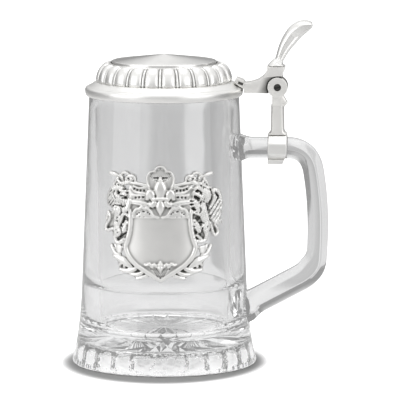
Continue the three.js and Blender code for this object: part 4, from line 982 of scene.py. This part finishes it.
# Outlines of the plates behind, as (across, up); arch, drapery, pedestal and scrolls are right halves
TREFOIL = (
    (0, 116.3), (1.9, 115.6), (2.8, 114.2), (3.1, 113.4), (4.5, 113.5), (6.2, 112.2), (7.1, 110),
    (7.1, 107), (6.2, 104.6),
)
DRAPERY = (
    (17, 106.6), (7.4, 105.4), (6.9, 98.2), (5.5, 95.2), (16, 96.2), (17.5, 101.6),
)
PEDESTAL = (
    (23.8, 72.3), (20.6, 71.6), (20.9, 67.9), (23.1, 67.6),
)
SCROLL_GROUND = (
    (26.9, 66.5), (19.9, 65.1), (15.2, 61.6), (9.7, 58), (5.9, 55.3), (10.7, 53.5), (16.3, 55.7),
    (22.8, 57.7), (23.2, 62.4),
)
LION_GROUND = (
    (-27.2, 104.2), (-30, 102.8), (-32.1, 98.8), (-31.9, 93.8), (-28.2, 91.9), (-27.8, 88.6),
    (-30.1, 84.5), (-31.5, 81), (-28.6, 79.9), (-26.8, 77.1), (-27.1, 74.3), (-24.4, 72), (-20.4, 73.1),
    (-18.9, 77.1), (-17.5, 81.6), (-17.4, 88.3), (-16.9, 93.9), (-16.6, 98.3), (-19.3, 99.2),
    (-19.1, 103.1), (-21.9, 104.6),
)
GRIFFIN_GROUND = (
    (23.9, 104.7), (28.9, 103.2), (34.4, 101.3), (36.1, 95.9), (35.5, 90.4), (31.4, 84.7), (28.4, 84.4),
    (28.7, 81.1), (26, 77.4), (26, 74.1), (20.9, 73.3), (18.6, 76.2), (17.5, 81.8), (17.1, 86.3),
    (18, 90.7), (16.6, 94.6), (16.4, 98.2), (18.4, 99.5), (18.2, 103.1), (20.3, 104.9),
)
TAIL_GROUND = (
    (29.3, 82.7), (31.2, 81.9), (32.7, 79.6), (31.9, 77.7), (30.3, 77.9),
)
# Small deep marks as (across, up, radius, depth): on the animals, and on the right half of the rest
FACE_MARKS = (
    (-18.2, 101.2, 0.3, 1), (-24, 93, 0.7, 0.5), (-23.3, 87.2, 0.6, 0.6), (-23.4, 85.5, 0.6, 0.7),
    (-23.6, 80.5, 0.4, 0.6), (-22.6, 79, 0.4, 0.6), (20, 86.9, 0.8, 1.4), (21.6, 77.9, 0.5, 1.2),
    (32.2, 98.7, 0.5, 1.5), (17.9, 85.2, 0.3, 0.9), (17.7, 82.9, 0.3, 0.9), (24.9, 82.5, 0.5, 0.7),
    (23.7, 81.1, 0.4, 0.6), (19, 90.5, 0.5, 0.7),
)
SIDE_MARKS = (
    (3.5, 109.9, 0.3, 1.2), (2.8, 109.9, 0.3, 1.2), (2, 109.9, 0.3, 1.2), (1.4, 109.9, 0.3, 1.2),
    (12.5, 103, 0.4, 0.9), (10.7, 102.8, 0.4, 0.9), (8.8, 102.8, 0.4, 0.9), (14.2, 103.6, 0.4, 0.8),
    (13.4, 98.7, 0.4, 0.9), (11.5, 98.9, 0.4, 0.9), (9.4, 99.1, 0.4, 0.9), (12.4, 89.7, 0.3, 1),
    (11.3, 90.5, 0.3, 1), (9.3, 91.3, 0.3, 1), (8.6, 91.1, 0.3, 1), (6.7, 90.8, 0.3, 1),
    (5.7, 90, 0.3, 1), (10.9, 88.3, 0.3, 0.5), (8.6, 88.3, 0.3, 0.5), (21.9, 108.9, 0.3, 0.9),
    (19.7, 109.4, 0.3, 0.9), (17.6, 109.2, 0.3, 0.9), (24.1, 106.8, 0.3, 0.9),
)
# Lines cut between limbs, mane and feathers
CUTS = (
    ((-19.8, 87.4), (-20.2, 85.1), (-21.9, 82.6), (-20.8, 80.5), (-20.5, 79.1)),
    ((-22.4, 76.4), (-20.9, 77.4), (-19.4, 78.7)),
    ((-26.8, 92.9), (-25.2, 94.3), (-22.7, 94.1), (-20.6, 93.4)),
    ((-23.4, 100.4), (-22.6, 101.1)),
    ((-20.1, 103.1), (-19, 103.3)),
    ((-20.7, 98.3), (-18.9, 98.3)),
    ((-21.6, 99.6), (-20, 99.5)),
    ((-25.6, 102), (-26, 100), (-24.8, 98)),
    ((-21.2, 92.7), (-20.6, 90.5), (-21.6, 88.8)),
    ((18.6, 102.1), (19.6, 102.5), (21, 102), (22, 101.2)),
    ((27.7, 102.1), (29, 99.5), (28.2, 96.8), (27, 94.7)),
    ((18.2, 99.5), (19.8, 98.8), (20.9, 98)),
    ((16.1, 97), (17.3, 96.9)),
    ((16.1, 95.1), (17.5, 95.2)),
    ((17.1, 92.4), (18.6, 92)),
    ((21.1, 93.1), (21.5, 91.5), (20.7, 90.4)),
    ((21.2, 84.8), (23, 84.5)),
    ((22.3, 82), (22.3, 79.3)),
    ((27.1, 80.3), (28.1, 77.4)),
    ((26.1, 93.6), (26, 90.3), (26.5, 87), (27.4, 85.2)),
)


def turned(points, side):
    """Points as drawn, or turned over for the left with side -1."""
    return [(side * u, *rest) for u, *rest in points]


def crest_ribs(bm):
    for row in LION + GRIFFIN + LILY:
        rib(bm, *row)
    strands(bm, MANE, *MANE_RIB)
    strands(bm, NECK_FEATHERS, *FEATHER_RIB)
    arch = [(u, z, *ARCH_RIM) for u, z in TREFOIL]
    rib(bm, *reversed(arch), *turned(arch[1:], -1))
    for side in (-1, 1):
        for row in (*MANTLING, FRILL, SHIELD_RIM):
            rib(bm, *turned(row, side))


def crest_plates(bm):
    blunt = len(BLUNT_STEPS)
    for ground in (LION_GROUND, GRIFFIN_GROUND, TAIL_GROUND):
        plate(bm, ground, GROUND_LIFT)
    rim = [tuple(p.xy) for p in flowing(SHIELD_RIM)[blunt:-blunt]]
    plate(bm, both_sides([SHIELD_CORNER, *rim]), SHIELD_LIFT)
    arch = [tuple(p.xy) for p in flowing([(u, z, 1, 1) for u, z in TREFOIL])[blunt:-blunt]]
    plate(bm, both_sides([*arch, ARCH_FOOT]), ARCH_LIFT)
    for side in (-1, 1):
        plate(bm, turned(DRAPERY, side), DRAPERY_LIFT)
        plate(bm, turned(PEDESTAL, side), PEDESTAL_LIFT)
        plate(bm, turned(SCROLL_GROUND, side), GROUND_LIFT)
        plate(bm, turned([(u, z) for u, z, *_ in FRILL], side), FRILL_LIFT)


def cut_distance(across, up, line):
    """How far each point lies from a line."""
    least = np.full_like(across, np.inf)
    for (u, z), (v, w) in zip(line, line[1:]):
        share = ((across - u) * (v - u) + (up - z) * (w - z)) / ((v - u) ** 2 + (w - z) ** 2)
        share = np.clip(share, 0, 1)
        least = np.minimum(least, np.hypot(across - u - share * (v - u), up - z - share * (w - z)))
    return least


def carved(across, up, lift):
    """The lift after the animals are chased with fur, and the marks and lines are cut."""
    beside = np.clip((np.abs(across) - FUR_SIDE) / 2, 0, 1)
    above = np.clip((up - FUR_FOOT) / 3, 0, 1)
    furry = beside * above * np.clip(lift - FUR_LIFT, 0, 1)
    tufts = np.sin(4.3 * across + 1.7 * up) * np.sin(3.6 * up - 1.1 * across)
    lift = lift + FUR_DEPTH * furry * tufts
    cuts = [(np.hypot(across - u, up - z) / (2 * radius), depth) for u, z, radius, depth in crest_marks()]
    cuts += [(cut_distance(across, up, line) / CUT_WIDTH, CUT_DEPTH) for line in CUTS]
    for away, depth in cuts:
        sunk = np.maximum(lift - depth * (1 - np.minimum(away, 1) ** 2) ** 2, LEAST_LIFT)
        lift = np.where(lift > LEAST_LIFT, sunk, lift)
    return lift


def crest_marks():
    """The punched marks, and the stipple over the lily and in the foot of the shield."""
    marks = [*FACE_MARKS, *SIDE_MARKS, *turned(SIDE_MARKS, -1)]
    for k in range(13):
        for j in range(-6, 7):
            u, z = (j + 0.5 * (k % 2)) * STIPPLE_PITCH, STIPPLE_FOOT + STIPPLE_STEP * k
            if abs(u) < min(TIP_SLOPE * (z - SHIELD_TIP), STIPPLE_HALF) and z < STIPPLE_TOP:
                marks.append((u, z, *STIPPLE))
            if hypot(u / FIELD_HALVES[0], (z + FIELD_RISE - FIELD_Z) / FIELD_HALVES[1]) < 1:
                marks.append((u, z + FIELD_RISE, *STIPPLE))
    return marks


def crest_patina(mesh, lift):
    """How far each point lies below its surroundings: the dark that stays in the recesses."""
    count = len(mesh.vertices)
    ends = np.empty(2 * len(mesh.edges), dtype=np.int32)
    mesh.edges.foreach_get("vertices", ends)
    a, b = ends.reshape(-1, 2).T
    links = np.bincount(a, minlength=count) + np.bincount(b, minlength=count)
    near = lift
    for _ in range(PATINA_REACH):
        near = (np.bincount(a, near[b], count) + np.bincount(b, near[a], count)) / links
    return np.clip(PATINA_GAIN * (near - lift) + 0.05, 0, 1)


def crest_badge():
    """The crest, fused from its plates and ribs, then carved, darkened and laid round the glass."""
    bm = bmesh.new()
    crest_plates(bm)
    crest_ribs(bm)
    bmesh.ops.recalc_face_normals(bm, faces=bm.faces)
    bm = shaped(bm, "REMESH", mode="VOXEL", voxel_size=CREST_GRAIN)
    bm = shaped(bm, "SMOOTH", factor=0.5, iterations=1)
    bmesh.ops.recalc_face_normals(bm, faces=bm.faces)
    obj = piece("crest_relief", bm, "tankard", "antiqued_pewter", ANTIQUED, "crest_badge", sharp=180)
    points = np.empty(3 * len(obj.data.vertices))
    obj.data.vertices.foreach_get("co", points)
    across, up, lift = points.reshape(-1, 3).T / MM
    lift = carved(across, up, lift)
    dark = crest_patina(obj.data, lift)
    radius, turn = wall_radius(up) + CREST_BACK + lift, (across + CREST_ASIDE) / wall_radius(CREST_Z)
    laid = np.stack([radius * np.sin(turn), -radius * np.cos(turn), up], axis=1) * MM
    obj.data.vertices.foreach_set("co", laid.ravel())
    obj.data.attributes.new("patina_and_painted_shade", "FLOAT", "POINT").data.foreach_set("value", dark)


glass_tankard()
lid_casting()
lid_disc()
lid_tang()
hinge_shank()
hinge_pin()
handle_strap()
thumblift()
crest_badge()

crest_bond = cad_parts["crest_bond"].data
crest_bond.materials.clear()
crest_bond.materials.append(ADHESIVE)


# Studio

CAMERA_AIM, CAMERA_AWAY, CAMERA_LENS = (0.0200, 0.0014, 0.0913), 2.2, 353
CAMERA_TURN, CAMERA_RISE = radians(3), radians(7.9)
# The floor by metres from the axis: its shadow round the foot, a painted shadow near it, and the painted glow
# of the floor under the foot in the glass above it
SHADOW_SQUEEZE, SHADOW_REACH = (1, 0.8, 1), (0.0525, 0.063)
PAINTED_SHADOW_REACH, PAINTED_SHADOW_TONE = (0.05, 0.062), 0.45
UNDER_REACH, UNDER_EDGE = (0.005, 0.045), (0.047, 0.07)
UNDER_MIDDLE, UNDER_GLOW, FAR_GLOW = 0.5, 0.85, 0.1
NEAR_TONE, FAR_REACH = (0.95, 0.95, 0.95, 1), (0.12, 0.25)


def camera():
    data = bpy.data.cameras.new("camera")
    data.lens, data.sensor_width = CAMERA_LENS, 36
    view = placed("camera", data)
    target = Vector(CAMERA_AIM)
    flat = cos(CAMERA_RISE)
    place = (sin(CAMERA_TURN) * flat, -cos(CAMERA_TURN) * flat, sin(CAMERA_RISE))
    view.location = target + CAMERA_AWAY * Vector(place)
    view.rotation_euler = (target - view.location).to_track_quat("-Z", "Y").to_euler()
    bpy.context.scene.camera = view


def softbox(name, place, size, radiance):
    """A square light of a given brightness, aimed at the stein."""
    data = bpy.data.lights.new(name, "AREA")
    data.shape = "RECTANGLE"
    data.size, data.size_y = size
    data.energy = radiance * pi * size[0] * size[1]
    light = placed(name, data)
    light.location = place
    aim = Vector((0.01, 0, min(place[2], 0.3))) - Vector(place)
    light.rotation_euler = aim.to_track_quat("-Z", "Y").to_euler()


def seen_rays(tree):
    """1 for rays that show the background: camera, glossy and transmission rays."""
    path = node(tree, "LightPath").outputs
    shown = path["Is Camera Ray"]
    for ray in ("Is Glossy Ray", "Is Transmission Ray"):
        shown = maths(tree, "MAXIMUM", shown, path[ray])
    return shown


def ramp(tree, value, start, end, low, high):
    """value eased from low at start to high at end."""
    span = {"interpolation_type": "SMOOTHSTEP"}
    reach = {"From_Min": start, "From_Max": end, "To_Min": low, "To_Max": high}
    return node(tree, "MapRange", span, Value=value, **reach).outputs[0]


def studio_world():
    """A grey sweep behind, a lighter room in front, and a pale ceiling."""
    world = bpy.data.worlds.new("studio")
    bpy.context.scene.world = world
    world.use_nodes = True
    tree = world.node_tree
    light = tree.nodes["Background"]
    light.inputs["Color"].default_value = (1, 1, 1, 1)
    aim = node(tree, "TexCoord").outputs["Generated"]
    axes = node(tree, "SeparateXYZ", Vector=aim).outputs
    horizon = ramp(tree, axes["X"], -0.06, 0.06, 0.3, 0.5)
    sweep = blend(tree, ramp(tree, maths(tree, "ABSOLUTE", axes["X"]), 0.1, 0.45, 0.0, 1.0), horizon, 0.3)
    room = blend(tree, ramp(tree, axes["Y"], -0.1, 0.4, 0.0, 1.0), 0.6, sweep)
    shown = blend(tree, ramp(tree, axes["Z"], 0.16, 0.5, 0.0, 1.0), room, 0.95)
    tree.links.new(blend(tree, seen_rays(tree), 0.6, shown), light.inputs["Strength"])


# Tones of the far floor by metres right of the line of sight through the glass, and where they start
TONES_LEFT = 0.5
FLOOR_TONES = (
    (-0.5, 0.4), (-0.42, 0.8), (-0.2, 0.83), (-0.036, 0.83), (-0.022, 0.65), (0.022, 0.65), (0.036, 0.88),
    (0.066, 0.9), (0.076, 0.55), (0.1, 0.55), (0.13, 0.66), (0.18, 0.7), (0.4, 0.7), (0.5, 0.3),
)


def floor_tone(tree, spot):
    """The far floor's tones, which show through the glass and the handle, and a pale floor near the foot."""
    right = (cos(CAMERA_TURN), sin(CAMERA_TURN), 0)
    offset = node(tree, "VectorMath", {"operation": "DOT_PRODUCT"}, _0=spot, _1=right)
    cards = node(tree, "ValToRGB", Fac=maths(tree, "ADD", offset.outputs["Value"], TONES_LEFT))
    stops = cards.color_ramp.elements
    stops.remove(stops[1])
    for place, tone in FLOOR_TONES:
        stop = stops.new(place + TONES_LEFT) if place > -TONES_LEFT else stops[0]
        stop.color = (tone, tone, tone, 1)
    far = ramp(tree, length(tree, spot), *FAR_REACH, 0.0, 1.0)
    return tinted(tree, far, NEAR_TONE, cards.outputs["Color"])


def pale_floor():
    """A floor that shows white to the camera, apart from the shadow round the foot and a painted shadow near
    it; it glows with painted light under the foot for rays seen in the glass.
    """
    material, tree, shader = new_material("pale floor")
    shader.inputs["Roughness"].default_value = 0.9
    shader.inputs["Specular IOR Level"].default_value = 0.0
    shader.inputs["Emission Color"].default_value = (1, 1, 1, 1)
    spot = object_space(tree)
    reach = length(tree, spot)
    squeezed = node(tree, "VectorMath", {"operation": "MULTIPLY"}, _0=spot, _1=SHADOW_SQUEEZE)
    near = length(tree, squeezed.outputs[0])
    # Painted shadow: the floor's colour darkens near the foot
    painted_shadow = ramp(tree, near, *PAINTED_SHADOW_REACH, PAINTED_SHADOW_TONE, 1.0)
    tone = node(tree, "VectorMath", {"operation": "SCALE"}, _0=floor_tone(tree, spot), Scale=painted_shadow)
    path = node(tree, "LightPath").outputs["Is Camera Ray"]
    # Painted light: the floor under the foot glows for rays seen in the glass
    hidden = ramp(tree, reach, *UNDER_REACH, UNDER_MIDDLE, UNDER_GLOW)
    under = maths(tree, "MINIMUM", hidden, ramp(tree, reach, *UNDER_EDGE, UNDER_GLOW, FAR_GLOW))
    away = blend(tree, path, under, ramp(tree, near, *SHADOW_REACH, 0.0, 1.0))
    glow = maths(tree, "MULTIPLY", seen_rays(tree), away)
    tree.links.new(tone.outputs[0], shader.inputs["Base Color"])
    tree.links.new(glow, shader.inputs["Emission Strength"])
    return material


def floor():
    bm = bmesh.new()
    bmesh.ops.create_grid(bm, x_segments=1, y_segments=1, size=6)
    bmesh.ops.translate(bm, verts=bm.verts, vec=(0, 0, -0.0003))
    mesh = meshed("floor", bm)
    mesh.materials.append(pale_floor())
    ground = placed("floor", mesh)


camera()
studio_world()
floor()
softbox("left softbox", (-0.75, -0.53, 0.36), (0.78, 0.72), 1.2)
softbox("right softbox", (0.75, -0.53, 0.36), (0.72, 0.72), 1.1)
softbox("top softbox", (0.0, 0.1, 1.5), (1.2, 1.0), 1.2)
bpy.context.scene.view_settings.view_transform = "Standard"
